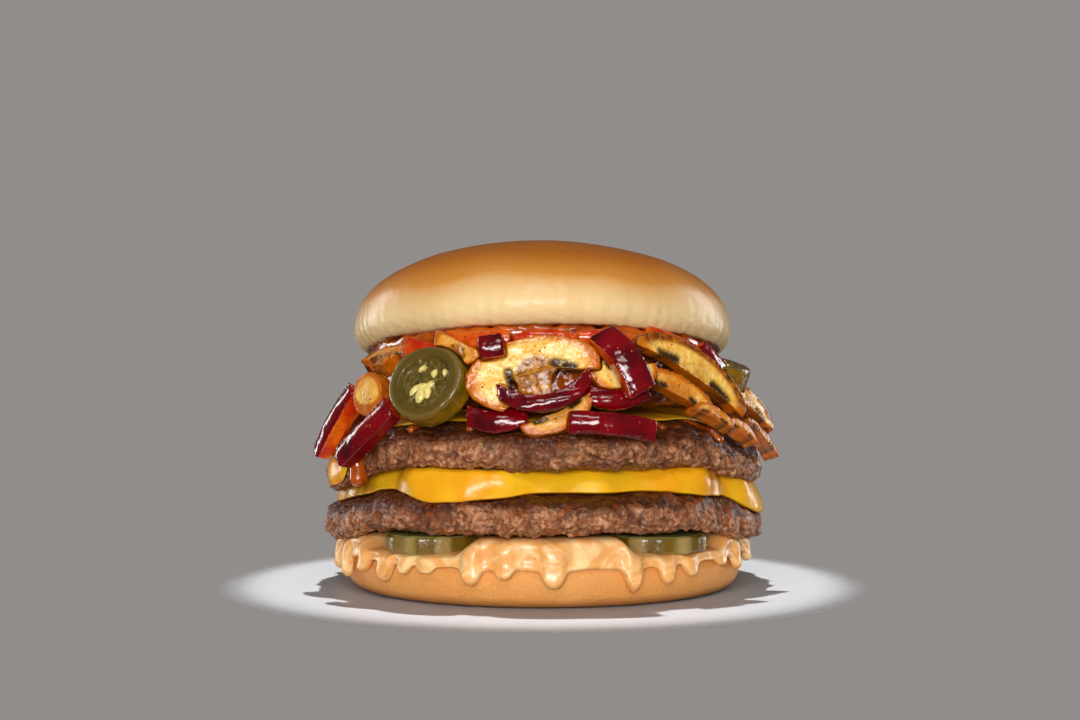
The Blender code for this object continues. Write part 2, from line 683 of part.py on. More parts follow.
def swollen(item, amount, group):
    """A copy of a piece, larger by the gap on every side, to cut its neighbours with."""
    bm = bmesh.new()
    bm.from_mesh(item.data)
    bm.normal_update()
    moved = [v.co + v.normal * amount * min(2.0, v.calc_shell_factor()) for v in bm.verts]
    for vertex, place in zip(bm.verts, moved):
        vertex.co = place
    cutter = bpy.data.objects.new(item.name + "_cutter", mesh_from(item.name + "_cutter", bm))
    cutter.hide_render = True
    cutter.display_type = "WIRE"
    group.objects.link(cutter)
    return cutter


def largest_part(bm):
    """Removes the loose scraps that a cut leaves, and keeps the largest body."""
    left = set(bm.faces)
    bodies = []
    for start in bm.faces:
        if start not in left:
            continue
        left.remove(start)
        stack = [start]
        body = [start]
        while stack:
            for edge in stack.pop().edges:
                for face in edge.link_faces:
                    if face in left:
                        left.remove(face)
                        stack.append(face)
                        body.append(face)
        bodies.append(body)
    bodies.sort(key=lambda faces: sum(face.calc_area() for face in faces))
    scraps = [face for body in bodies[:-1] for face in body]
    bmesh.ops.delete(bm, geom=scraps, context="FACES")
    loose = [vertex for vertex in bm.verts if not vertex.link_faces]
    bmesh.ops.delete(bm, geom=loose, context="VERTS")


def tidy(mesh):
    bm = bmesh.new()
    bm.from_mesh(mesh)
    in_order(bm)
    bmesh.ops.triangulate(bm, faces=bm.faces)
    bmesh.ops.remove_doubles(bm, verts=bm.verts, dist=WELD)
    bmesh.ops.dissolve_degenerate(bm, edges=bm.edges, dist=WELD)
    bmesh.ops.triangulate(bm, faces=bm.faces)
    largest_part(bm)
    in_order(bm)
    bmesh.ops.dissolve_limit(bm, angle_limit=FLAT_ANGLE, verts=bm.verts, edges=bm.edges)
    bmesh.ops.triangulate(bm, faces=bm.faces)
    in_order(bm)
    bm.to_mesh(mesh)
    bm.free()


def carve(item, neighbours, cutters):
    """Cuts a piece free of each neighbour that reaches into it, with a small gap."""
    for other in neighbours:
        cutter = cutters[other.name]
        if not bvh_of(item.data).overlap(bvh_of(cutter.data)):
            continue
        cut = item.modifiers.new("clear_of_" + other.name, "BOOLEAN")
        cut.operation = "DIFFERENCE"
        cut.solver = "EXACT"
        cut.object = cutter
        mesh = evaluated_mesh(item)
        item.modifiers.clear()
        tidy(mesh)
        item.data = mesh


def shade(item):
    item.data.shade_smooth()
    item.data.set_sharp_from_angle(angle=math.radians(35))


def build():
    clear_scene()
    burger = new_collection("chili_cheeseburger")
    cutter_group = new_collection("cutters")

    heel = turned("bun_heel", heel_profile(), HEEL_STEPS, burger, "bun", Vector)
    crown = turned("bun_crown", crown_profile(), CROWN_STEPS, burger, "crown", crown_place)
    lower = make_patty("patty_lower", LOWER_PATTY, burger)
    upper = make_patty("patty_upper", UPPER_PATTY, burger)
    pickles = []
    for name, radius, thick, centre, turn, tilt in PICKLES:
        spot = (Matrix.Translation(Vector(centre) * MM)
                @ Matrix.Rotation(math.radians(tilt), 4, "X")
                @ Matrix.Rotation(math.radians(turn), 4, "Z"))
        pickles.append(round_slice(name, radius * MM, thick * MM, spot, burger, "pickle"))
    toppings = topping_pieces(burger)
    slice_lower = make_cheese("cheese_lower", LOWER_PATTY, lower_cheese_edge,
                              LOWER_CHEESE_THICK, UPPER_PATTY, burger)
    slice_upper = make_cheese("cheese_upper", UPPER_PATTY, upper_cheese_edge,
                              UPPER_CHEESE_THICK, None, burger)
    sauce = make_sauce(burger)
    core = make_core(burger)

    order = [crown, upper, slice_upper] + pickles + toppings + [sauce, core]
    cutters = {item.name: swollen(item, GAP, cutter_group) for item in order}
    for number, item in enumerate(order):
        if item in toppings or item is core:
            carve(item, order[:number], cutters)
    carve(sauce, pickles, cutters)
    for item in burger.objects:
        shade(item)


build()
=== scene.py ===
"""Looks of a chili cheeseburger, built over its fixed solids.

The burger stands on z = 0 with its front towards -Y. Sizes are in metres.
"""
import math

import bmesh
import bpy
import numpy as np
from mathutils import Matrix, Vector, noise


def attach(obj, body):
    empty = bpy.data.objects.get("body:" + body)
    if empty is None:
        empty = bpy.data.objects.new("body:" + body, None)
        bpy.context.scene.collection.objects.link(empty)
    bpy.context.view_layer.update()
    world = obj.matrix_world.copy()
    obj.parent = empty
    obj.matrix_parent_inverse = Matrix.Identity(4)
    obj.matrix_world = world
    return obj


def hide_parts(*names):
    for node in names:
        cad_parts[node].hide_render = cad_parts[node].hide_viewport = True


bl_info = {
    "name": "Chili cheeseburger",
    "version": (1, 0, 0),
    "blender": (4, 5, 0),
    "location": "3D View > Sidebar > Burger",
    "description": "Bread, beef, cheese, sauce and glazed topping over the burger's solids",
    "category": "Mesh",
}

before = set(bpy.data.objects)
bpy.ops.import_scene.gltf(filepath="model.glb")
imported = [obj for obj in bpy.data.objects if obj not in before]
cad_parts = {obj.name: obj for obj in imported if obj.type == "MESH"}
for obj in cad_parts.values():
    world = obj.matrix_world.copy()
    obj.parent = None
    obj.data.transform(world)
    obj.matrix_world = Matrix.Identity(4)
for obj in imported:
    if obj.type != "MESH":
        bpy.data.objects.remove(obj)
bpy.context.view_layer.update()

MM = 0.001

# Shapes that the solids have too
HEEL_FLAT_RADIUS = 48.0 * MM
HEEL_RADIUS = 53.5 * MM
HEEL_WIDEST = 7.4 * MM
HEEL_TOP = 12.0 * MM
CROWN_SEAT = 61.7 * MM
CROWN_HEIGHT = 28.7 * MM
CROWN_LEAN = math.radians(8.5)
LOWER_PATTY = {"radius": 58.3 * MM, "low": 17.4 * MM, "high": 28.8 * MM, "dome": 0.0,
               "left": 5.5 * MM, "right": 5.5 * MM, "seed": 3.0}
UPPER_PATTY = {"radius": 58.0 * MM, "low": 33.0 * MM, "high": 44.8 * MM, "dome": 1.4 * MM,
               "left": 9.0 * MM, "right": 6.5 * MM, "seed": 11.0}
EDGE_ROUND = 0.35
FACE_FLAT = 0.55
DROOP_START = 35.0 * MM
DROOP_END = 59.0 * MM
LIP_START = math.radians(42.0)

# Latitude on the patty that a cheese slice reaches, and where it hangs lower: azimuth, half
# width and depth, all in degrees
LOWER_CHEESE_REST = 47.0
LOWER_CHEESE_HANGS = ((-24, 24, 28), (44, 20, 12), (82, 26, 32), (124, 22, 20),
                      (158, 20, 28), (200, 24, 22), (240, 20, 27), (272, 16, 10))
UPPER_CHEESE_REST = 62.0
UPPER_CHEESE_HANGS = ((-65, 34, 66), (115, 34, 60), (205, 34, 62))
LOWER_CHEESE_THICK = 3.4 * MM
UPPER_CHEESE_THICK = 2.0 * MM
SAUCE_TOP = 17.2 * MM
SAUCE_VALLEY = 10.0 * MM

# Shapes that only the looks have
BEEF_TOP = 0.72
BEEF_UNDER = 0.36
RAGGED_SIZE = 7.0 * MM
RAGGED_HEIGHT = 1.5 * MM
PEPPER_BULGE = 0.9 * MM
CROWN_WAVE_SIZE = 17 * MM
CROWN_FOLD_HEIGHT = 0.07 * MM

# Drips at the front: azimuth, height of the tip in millimetres, half width in degrees
FRONT_DRIPS = ((-83, 4.7, 3.0), (-68, 3.9, 3.0), (-56, 6.5, 3.0), (-46, 5.0, 3.0),
               (-39, 7.5, 2.6), (-32, 8.1, 3.4), (-18.6, 5.5, 3.3), (-10, 7.2, 3.3),
               (2.6, 5.2, 4.2), (23.4, 3.8, 2.8), (33.7, 5.6, 2.8),
               (42, 6.9, 3.2), (56, 8.3, 3.2), (66, 6.6, 3.4), (83, 6.7, 3.4))
BACK_DRIPS = 11

# Mushroom slices: name, width, height share, left curl, right curl, stem, centre,
# azimuth, lean, roll, tone from dark 0 to bright 1
CAP_SLICES = (
    ("mushroom_front", 33.4, 0.50, 58, 16, 0.52, (-2.6, -54.8, 57.4), 0, 8, 12, 1.0),
    ("mushroom_behind_pepper", 18.0, 0.75, 25, 25, 0.0, (18.8, -50.6, 58.4), 12, 8, 172, 0.9),
    ("mushroom_under_crown", 18.0, 0.55, 12, 12, 0.5, (-38.5, -34.0, 60.0), -48, 55, 10, 0.2),
    ("mushroom_glazed_lip", 19.0, 0.52, 8, 8, 0.0, (3.2, -56.6, 47.8), 0, 14, 207, 0.45),
    ("mushroom_long_right", 36.0, 0.38, 10, 10, 0.0, (36.6, -42.8, 56.2), 33, 12, -32, 0.75),
    ("mushroom_second_right", 23.0, 0.45, 10, 10, 0.0, (32.2, -45.6, 51.4), 30, 16, -28, 0.5),
    ("mushroom_side_right", 26.0, 0.42, 12, 12, 0.0, (51.0, -26.0, 48.4), 55, 20, -30, 0.6),
    ("mushroom_small_right", 13.0, 0.5, 8, 8, 0.0, (41.0, -44.0, 45.6), 42, 25, -28, 0.4),
    ("mushroom_crumb_right", 11.0, 0.6, 8, 8, 0.0, (48.6, -37.6, 41.6), 50, 25, -35, 0.4),
    ("mushroom_tip_right", 17.0, 0.36, 6, 6, 0.0, (55.6, -22.4, 39.6), 64, 22, -40, 0.3),
    ("mushroom_button_left", 10.6, 1.06, 0, 0, 0.0, (-42.4, -39.2, 51.6), -42, 6, 0, 0.6),
    ("mushroom_stem_left", 14.0, 0.9, 0, 0, 0.9, (-20.4, -50.4, 62.6), -18, 10, -14, 0.35),
)

# Slices whose upper edge shows fried brown skin
BROWNED_SLICES = ("mushroom_long_right", "mushroom_side_right", "mushroom_tip_right",
                  "mushroom_under_crown", "mushroom_lower_120", "mushroom_lower_214")

# Pepper strips: name, length, width, centre, azimuth, lean, roll, colour of the outer face,
# and on which long side, 1 or -1, the flesh shows
STRIPS = (
    ("pepper_front_curve", 22.0, 4.3, (1.0, -60.2, 50.0), 0, 6, 10, "skin", 1),
    ("pepper_front_slope", 17.0, 7.4, (19.6, -56.0, 60.4), 12, 26, -62, "skin", -1),
    ("pepper_on_patty", 20.5, 5.4, (16.4, -59.4, 45.0), 10, 8, -6, "skin", 1),
    ("pepper_under_mushroom", 15.0, 5.0, (17.8, -54.4, 50.6), 12, 8, 4, "skin", -1),
    ("pepper_dark_loop", 14.0, 5.4, (-11.0, -54.6, 45.2), -10, 8, 2, "skin", -1),
    ("pepper_left_outer", 20.0, 6.2, (-53.0, -25.6, 44.2), -60, 18, 60, "skin", -1),
    ("pepper_left_inner", 20.0, 6.0, (-43.6, -43.4, 41.8), -42, 14, 42, "skin", 1),
    ("pepper_small_end", 6.0, 5.6, (-12.2, -55.0, 63.4), -8, 10, 10, "skin", -1),
    ("pepper_left_under_crown", 9.0, 5.5, (-29.8, -42.6, 62.2), -30, 12, -10, "flesh", 1),
    ("pepper_right_flesh", 24.0, 6.4, (35.0, -35.4, 62.0), 38, 14, -24, "flesh", 1),
    ("pepper_right_skin", 12.0, 7.0, (42.6, -31.0, 58.4), 48, 12, -42, "skin", 1),
    ("pepper_top_left", 16.0, 4.4, (-15.8, -46.2, 65.0), -16, 5, 2, "flesh", 1),
    ("pepper_top_middle", 15.0, 4.2, (0.4, -50.4, 65.8), 0, 5, 0, "flesh", 1),
    ("pepper_top_right", 15.0, 4.4, (15.4, -46.2, 65.4), 16, 5, -4, "flesh", 1),
)

# Jalapeno slices: name, radius, thickness, centre, azimuth, lean, roll
JALAPENO_SLICES = (
    ("jalapeno_front", 9.9, 6.6, (-27.4, -50.0, 54.0), -28, 23, 25),
    ("jalapeno_right", 9.6, 7.0, (44.0, -21.5, 57.0), 62, 74, 0),
)

# Seeds in a jalapeno's chamber: place as shares of its radius, length, width, turn
SEEDS = ((-0.32, -0.10, 3.6, 2.2, 30), (-0.20, -0.28, 4.4, 2.6, 60), (-0.02, -0.27, 4.0, 2.4, 80),
         (0.10, -0.13, 3.0, 1.8, 20), (-0.12, -0.10, 4.0, 2.6, 0), (0.00, 0.38, 2.6, 1.5, 10),
         (0.28, 0.12, 2.4, 1.7, 50), (0.56, 0.02, 2.2, 1.2, 70))

# Pickle slices: name, radius, thickness, centre, turn about Z
PICKLES = (
    ("pickle_front_left", 12.6, 4.5, (-27.0, -33.6, 14.75), 20),
    ("pickle_front_right", 12.4, 4.3, (28.4, -32.8, 14.6), -20),
    ("pickle_back_right", 12.0, 4.0, (26.0, 34.0, 14.5), 0),
    ("pickle_back_left", 12.2, 4.0, (-25.0, 34.6, 14.5), 30),
)

# Side and back: kind, azimuth, radius and height of the centre, lean, roll
LOWER_RING = (
    ("cap", 84, 54.5, 44.6, 40, -22), ("strip", 102, 53.5, 45.4, 22, 28),
    ("cap", 120, 54.0, 45.0, 38, 14), ("strip", 139, 54.5, 44.6, 24, -32),
    ("round", 157, 52.5, 47.0, 30, 20), ("cap", 177, 54.0, 45.0, 36, -12),
    ("strip", 196, 54.0, 44.8, 24, 30), ("cap", 214, 53.5, 45.4, 38, 18),
    ("strip", 232, 54.5, 43.2, 26, -38), ("cap", 250, 54.5, 42.6, 40, 24),
    ("strip", 270, 54.5, 41.6, 24, -50),
)
UPPER_RING = (
    ("strip", 94, 45.0, 55.6, 10, -14), ("cap", 114, 45.5, 52.6, 30, 20),
    ("strip", 134, 45.0, 53.0, 12, 10), ("round", 188, 43.5, 51.4, 55, 0),
    ("strip", 210, 45.0, 52.4, 12, -12), ("cap", 232, 45.5, 52.4, 30, 160),
    ("strip", 256, 45.0, 54.6, 10, 16), ("cap", 276, 44.5, 55.4, 26, -12),
)
RIM_GLAZE_RADIUS = 45.4 * MM

# How far a run falls below the rim of the patty for each radian below the level
RUN_DROP = 8.0 * MM

# Runs of glaze on the upper patty: azimuth, upper and lower latitude, half width in
# millimetres
GLAZE_RUNS = ((-50, 66, -30, 2.3), (-50, 70, 20, 1.2), (-36, 72, 36, 1.1), (-19, 74, 40, 1.2),
              (27, 72, 30, 1.3), (35, 70, 44, 1.0), (52, 68, 26, 1.2), (96, 70, 10, 1.3),
              (130, 70, -12, 1.4), (150, 70, 24, 1.2), (186, 70, 4, 1.4), (206, 70, 30, 1.1),
              (228, 70, -8, 1.3), (262, 70, 16, 1.3))

# Slices round the side and back: cap as in CAP_SLICES, width of a strip, radius and
# thickness of a round
RING_CAP = (22.0, 0.52, 20, 14, 0.45)
RING_STRIP_WIDTH = 5.6
RING_ROUND = (9.4, 5.6)

# Reliefs in millimetres: width and height of the lumps, width and height of the grains
MUSHROOM_RELIEF = (5.0, 0.55, 1.6, 0.16)
PEPPER_RELIEF = (6.0, 0.4, 2.0, 0.08)
JALAPENO_RELIEF = (4.0, 0.25, 1.2, 0.1)
GLAZE_RELIEF = (4.5, 1.0, 1.8, 0.3)

# Faces round and down the shells, and balls along a run
BEEF_SIDES = 900
BEEF_RINGS = 90
CHEESE_SIDES = 420
SAUCE_SIDES = 720
RIM_GLAZE_SIDES = 540
RIM_GLAZE_ROUND = 12
RUN_STEPS = 14

# Size of the faces of the glazed middle and of the runs
CORE_VOXEL = 0.8 * MM
RUN_VOXEL = 0.3 * MM

# Beads of glaze: how many on a square metre, how flat, and the seed of their places
BEAD_DENSITY = 60000.0
BEAD_FLATNESS = 0.55
BEAD_SEED = 4


def paint(red, green, blue):
    """Linear colour from the 0 to 255 values that a painter would read off a screen."""
    def linear(value):
        share = value / 255.0
        return share / 12.92 if share <= 0.04045 else ((share + 0.055) / 1.055) ** 2.4
    return (linear(red), linear(green), linear(blue))


# Second tones that the materials mix into the colours of the panel
CUT_DARK = paint(104, 34, 6)
CUT_LIGHT = paint(166, 82, 26)
HEEL_PALE = paint(232, 178, 108)
HEEL_PORE = paint(138, 78, 34)
HEEL_CRUMB = paint(246, 204, 130)
BEEF_BROWN = paint(116, 62, 36)
SEAR_LIGHT = paint(112, 54, 20)
FAT_STAIN = paint(160, 76, 12)
CHEESE_DEEP = paint(244, 160, 16)
CHEESE_LIGHT = paint(255, 206, 84)
SAUCE_DEEP = paint(234, 160, 84)
SAUCE_FLECK = paint(196, 84, 30)
PICKLE_DARK = paint(66, 66, 10)
PICKLE_FACE = paint(150, 150, 84)
MUSHROOM_LIGHT = paint(255, 222, 130)
MUSHROOM_DEEP = paint(168, 74, 4)
STEM_DARK = paint(122, 60, 4)
STEM_LIGHT = paint(196, 128, 34)
CAP_SKIN_LIGHT = paint(184, 104, 22)
PEPPER_DARK = paint(70, 0, 6)
FLESH_LIGHT = paint(222, 100, 18)
FLESH_RED = paint(160, 20, 4)
WALL_DARK = paint(84, 66, 18)
CHAMBER_DARK = paint(82, 66, 20)
CHAMBER_LIGHT = paint(118, 100, 46)
WALL_RIM = paint(116, 96, 46)
CHILLI_DARK = paint(84, 84, 14)
SEED_DARK = paint(214, 186, 96)
GLAZE_LIGHT = paint(196, 92, 10)
GLAZE_BIT = paint(128, 12, 6)
GLAZE_DARK = paint(60, 18, 4)
RUNNY_LIGHT = paint(190, 88, 8)
RUNNY_DEEP = paint(128, 40, 4)
RUNNY_DARK = paint(92, 20, 2)


def colour_prop(name, description, red, green, blue):
    return bpy.props.FloatVectorProperty(
        name=name, description=description, subtype="COLOR", size=3, min=0.0, max=1.0,
        default=paint(red, green, blue))


def size_prop(name, description, millimetres):
    return bpy.props.FloatProperty(
        name=name, description=description, default=millimetres * MM, min=0.0,
        unit="LENGTH", precision=5)


class BURGER_PG_colours(bpy.types.PropertyGroup):
    """Colours of the food."""
    crust_top: colour_prop("Crown top", "Most baked crust on the crown", 194, 110, 18)
    crust_side: colour_prop("Crown side", "Golden crust on the crown's side", 216, 148, 68)
    crust_rim: colour_prop("Crown rim", "Pale bread at the crown's rim", 254, 228, 170)
    heel_side: colour_prop("Heel side", "Golden tan side of the heel", 228, 148, 68)
    heel_base: colour_prop("Heel base", "Browned bottom of the heel", 158, 86, 34)
    meat: colour_prop("Beef", "Cooked crumbly beef", 146, 82, 44)
    meat_light: colour_prop("Light beef", "Paler grains of the beef", 210, 150, 106)
    # Colour of the painted shade between the beef's crags
    meat_deep: colour_prop("Beef crevice", "Dark between the crags", 44, 20, 12)
    meat_seared: colour_prop("Seared beef", "Browned face of a patty", 84, 38, 12)
    cheese: colour_prop("Cheese", "Melted cheese", 254, 196, 28)
    sauce: colour_prop("Sauce", "Burger sauce", 240, 172, 98)
    sauce_light: colour_prop("Sauce streak", "Pale streaks in the sauce", 255, 214, 150)
    # Colour of the painted highlights in upright bands round the pickle's skin
    pickle: colour_prop("Pickle skin", "Pickled cucumber skin", 112, 84, 12)
    pickle_pale: colour_prop("Pickle flesh", "Pale pickled flesh", 160, 134, 76)
    jalapeno_skin: colour_prop("Jalapeno skin", "Cooked chilli skin", 146, 102, 6)
    jalapeno_flesh: colour_prop("Jalapeno flesh", "Cut chilli flesh", 100, 78, 30)
    seed: colour_prop("Seed", "Chilli seed", 246, 226, 140)
    pepper_skin: colour_prop("Pepper skin", "Crimson pepper skin", 128, 0, 14)
    pepper_flesh: colour_prop("Pepper flesh", "Orange-red pepper flesh", 190, 42, 4)
    mushroom: colour_prop("Mushroom", "Cut mushroom in its glaze", 252, 188, 70)
    mushroom_glaze: colour_prop("Mushroom glaze", "Orange glaze on the mushroom", 214, 118, 14)
    mushroom_skin: colour_prop("Mushroom skin", "Browned cap skin", 118, 52, 6)
    gill: colour_prop("Gill", "Dark mushroom gills", 58, 36, 14)
    glaze: colour_prop("Glaze", "Thick chilli glaze", 112, 32, 4)


class BURGER_PG_sizes(bpy.types.PropertyGroup):
    """Sizes of the relief and of the small things."""
    meat_lump: size_prop("Beef lump", "Width of a lump of ground beef", 2.8)
    meat_lump_height: size_prop("Beef lump height", "How far a lump stands out", 1.5)
    meat_grain: size_prop("Beef grain", "Width of the fine crumbs on the beef", 1.1)
    meat_grain_height: size_prop("Beef grain height", "How far the crumbs stand out", 0.7)
    crown_wave: size_prop("Crown unevenness", "Height of the crown's soft waves", 0.35)
    slice_voxel: size_prop("Slice detail", "Size of the faces of slices and strips", 0.42)
    bead_small: size_prop("Smallest bead", "Radius of the smallest bead of glaze", 0.12)
    bead_large: size_prop("Largest bead", "Radius of the largest bead of glaze", 0.34)


# Small helpers

def smooth_step(low, high, value):
    """0 at low, 1 at high and a soft rise between, or the other way round."""
    share = np.clip((value - low) / (high - low), 0.0, 1.0)
    return share * share * (3.0 - 2.0 * share)


def toward(azimuth):
    """Unit vector that points out at an azimuth, where 0 is the front and 90 is +X."""
    turn = math.radians(azimuth)
    return Vector((math.sin(turn), -math.cos(turn), 0.0))


def placed(centre, azimuth, lean, roll):
    """Turns a piece drawn in XY so that it faces out at an azimuth and looks up by lean."""
    return (Matrix.Translation(Vector(centre) * MM)
            @ Matrix.Rotation(math.radians(azimuth), 4, "Z")
            @ Matrix.Rotation(math.radians(90.0 - lean), 4, "X")
            @ Matrix.Rotation(math.radians(roll), 4, "Z"))


def new_object(name, mesh):
    item = bpy.data.objects.new(name, mesh)
    bpy.context.scene.collection.objects.link(item)
    return item


def object_from(bm, name):
    """A new object with what was drawn in a bmesh, which is freed."""
    mesh = bpy.data.meshes.new(name)
    bm.to_mesh(mesh)
    bm.free()
    return new_object(name, mesh)


def object_of(name, points, faces):
    """A new object from lists of points and faces."""
    mesh = bpy.data.meshes.new(name)
    mesh.from_pydata(points, [], faces)
    mesh.update()
    return new_object(name, mesh)


def modified(item, name, kind, **settings):
    """Adds a modifier with its settings."""
    made = item.modifiers.new(name, kind)
    for key, value in settings.items():
        setattr(made, key, value)


def applied(item):
    """Replaces an object's mesh by what its modifiers make, and removes them."""
    graph = bpy.context.evaluated_depsgraph_get()
    mesh = bpy.data.meshes.new_from_object(item.evaluated_get(graph))
    item.modifiers.clear()
    item.data = mesh
    return item


def solid_copy(name, node):
    """A new object with a node's solid, its doubled vertices merged."""
    bm = bmesh.new()
    bm.from_mesh(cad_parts[node].data)
    bmesh.ops.remove_doubles(bm, verts=bm.verts, dist=0.001 * MM)
    return object_from(bm, name)


def rounded_copy(name, node, voxel, rounds):
    """A node's solid with even small faces and softened edges."""
    item = solid_copy(name, node)
    modified(item, "even faces", "REMESH", mode="VOXEL", voxel_size=voxel)
    modified(item, "soft edges", "SMOOTH", factor=0.5, iterations=rounds)
    return applied(item)


def subdivided_copy(name, node, levels):
    """A node's solid as a smooth round form."""
    item = solid_copy(name, node)
    modified(item, "round form", "SUBSURF", levels=levels, render_levels=levels)
    return applied(item)


def points_of(mesh):
    flat = np.empty(len(mesh.vertices) * 3)
    mesh.vertices.foreach_get("co", flat)
    return flat.reshape(-1, 3)


def normals_of(mesh):
    flat = np.empty(len(mesh.vertices) * 3)
    mesh.vertex_normals.foreach_get("vector", flat)
    return flat.reshape(-1, 3)


def push_out(mesh, distance):
    """Moves each vertex along its normal."""
    points = points_of(mesh) + normals_of(mesh) * distance[:, None]
    mesh.vertices.foreach_set("co", points.ravel())
    mesh.update()


def store(mesh, name, values):
    """Keeps one number for each vertex, for a material or a relief to read."""
    kept = mesh.attributes.get(name) or mesh.attributes.new(name, "FLOAT", "POINT")
    kept.data.foreach_set("value", np.full(len(mesh.vertices), values, np.float32))


def own_view(mesh, spot):
    """A piece's points and normals in the frame that it was drawn in."""
    turned = np.array(spot.to_3x3().inverted()).T
    return (points_of(mesh) - np.array(spot.translation)) @ turned, normals_of(mesh) @ turned


def shell(name, sides, section):
    """A closed skin through evenly turned sections, each from pole to pole."""
    rows = [section(360.0 * side / sides) for side in range(sides)]
    count, rings = len(rows), len(rows[0]) - 2
    points = [tuple(np.mean([row[0] for row in rows], axis=0))]
    for row in rows:
        points += [tuple(point) for point in row[1:-1]]
    points.append(tuple(np.mean([row[-1] for row in rows], axis=0)))
    last = len(points) - 1
    faces = []
    for here in range(count):
        near, far = 1 + here * rings, 1 + (here + 1) % count * rings
        faces.append((0, near, far))
        for ring in range(rings - 1):
            faces.append((near + ring, near + ring + 1, far + ring + 1, far + ring))
        faces.append((near + rings - 1, last, far + rings - 1))
    return object_of(name, points, faces)


def finish_piece(item, node, material):
    """Gives a piece its material and sets it in the place of its node."""
    item.data.materials.clear()
    item.data.materials.append(material)
    item.data.shade_smooth()
    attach(item, "root")
    if node:
        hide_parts(node)
    return item


# Node trees

def node(tree, kind, inputs=None, **settings):
    """Adds a node; an input is a value or another node's output."""
    made = tree.nodes.new(kind)
    for key, value in settings.items():
        setattr(made, key, value)
    for key, value in (inputs or {}).items():
        if isinstance(value, bpy.types.NodeSocket):
            tree.links.new(value, made.inputs[key])
        else:
            made.inputs[key].default_value = value
    return made


def maths(tree, operation, first, second=0.0):
    return node(tree, "ShaderNodeMath", {0: first, 1: second}, operation=operation).outputs[0]


def fade(tree, value, low, high):
    """0 below low and 1 above high, or the other way round where low is larger."""
    made = node(tree, "ShaderNodeMapRange",
                {"Value": value, "From Min": low, "From Max": high}, clamp=True)
    return made.outputs[0]


def blend(tree, share, first, second):
    """Mixes two colours by a share."""
    made = node(tree, "ShaderNodeMix", {0: share}, data_type="RGBA")
    for index, colour in ((6, first), (7, second)):
        if isinstance(colour, bpy.types.NodeSocket):
            tree.links.new(colour, made.inputs[index])
        else:
            made.inputs[index].default_value = (*colour, 1.0)
    return made.outputs[2]


def tint(tree, colour, second, value, low, high, most=None):
    """Lays a second colour over a first where a value fades in, at most by a share."""
    share = fade(tree, value, low, high)
    if most is not None:
        share = maths(tree, "MULTIPLY", share, most)
    return blend(tree, share, colour, second)


def swing(tree, value, reach):
    """Turns noise from 0 to 1 into noise that swings round zero."""
    return maths(tree, "MULTIPLY", maths(tree, "SUBTRACT", value, 0.5), reach)


def weighted(tree, first, weight, second):
    """Adds a second value to a weighted first one."""
    return maths(tree, "ADD", maths(tree, "MULTIPLY", first, weight), second)


def cloud(tree, place, size, detail=3.0, distortion=0.0):
    """Soft noise from 0 to 1 whose features have about this size."""
    made = node(tree, "ShaderNodeTexNoise",
                {"Vector": place, "Scale": 1.0 / size, "Detail": detail,
                 "Distortion": distortion})
    return made.outputs[0]


def cells(tree, place, size):
    """Distance to the middle of the nearest cell, in cell sizes."""
    return node(tree, "ShaderNodeTexVoronoi", {"Vector": place, "Scale": 1.0 / size},
                feature="F1").outputs[0]


def kept_value(tree, name):
    """A number that was stored on the piece."""
    return node(tree, "ShaderNodeAttribute", attribute_name=name).outputs["Fac"]


def food_material(name, roughness, coat=0.0, coat_rough=0.08, subsurface=0.0,
                  scatter=1.0 * MM, specular=0.5):
    """A new material with its shader's even values; returns it, its tree and its position."""
    made = bpy.data.materials.new(name)
    made.use_nodes = True
    tree = made.node_tree
    values = {"Roughness": roughness, "Coat Weight": coat, "Coat Roughness": coat_rough,
              "Specular IOR Level": specular, "Subsurface Weight": subsurface,
              "Subsurface Radius": (1.0, 0.5, 0.25), "Subsurface Scale": scatter}
    for key, value in values.items():
        tree.nodes["Principled BSDF"].inputs[key].default_value = value
    return made, tree, tree.nodes.new("ShaderNodeTexCoord").outputs["Object"]


def join_shader(tree, colour, rough_share, rough, height, distance):
    """Joins a colour, a roughness between two values and a bump to the shader."""
    shader = tree.nodes["Principled BSDF"]
    roughness = node(tree, "ShaderNodeMapRange",
                     {"Value": rough_share, "To Min": rough[0], "To Max": rough[1]}, clamp=True)
    bump = node(tree, "ShaderNodeBump",
                {"Height": height, "Distance": distance, "Strength": 1.0})
    tree.links.new(colour, shader.inputs["Base Color"])
    tree.links.new(roughness.outputs[0], shader.inputs["Roughness"])
    tree.links.new(bump.outputs[0], shader.inputs["Normal"])


def food_tree(name, sockets):
    """An empty Geometry Nodes tree with named inputs; returns it with its input node."""
    tree = bpy.data.node_groups.new(name, "GeometryNodeTree")
    tree.interface.new_socket("Geometry", in_out="INPUT", socket_type="NodeSocketGeometry")
    for label, kind, default in sockets:
        made = tree.interface.new_socket(label, in_out="INPUT", socket_type=kind)
        if default is not None:
            made.default_value = default
    tree.interface.new_socket("Geometry", in_out="OUTPUT", socket_type="NodeSocketGeometry")
    return tree, tree.nodes.new("NodeGroupInput")


def run_tree(item, tree, values):
    """Runs a Geometry Nodes tree on an object and keeps the result as its mesh."""
    modifier = item.modifiers.new(tree.name, "NODES")
    modifier.node_group = tree
    for socket in tree.interface.items_tree:
        if socket.in_out == "INPUT" and socket.name in values:
            modifier[socket.identifier] = values[socket.name]
    return applied(item)


def roughened(item, tree, relief, shift):
    """Gives a piece an even relief: width and height of its lumps, then of its grains."""
    store(item.data, "relief", 1.0)
    lump, lump_height, grain, grain_height = relief
    run_tree(item, tree, {"Lump Size": lump * MM, "Lump Height": lump_height * MM,
                          "Grain Size": grain * MM, "Grain Height": grain_height * MM,
                          "Shift": shift})


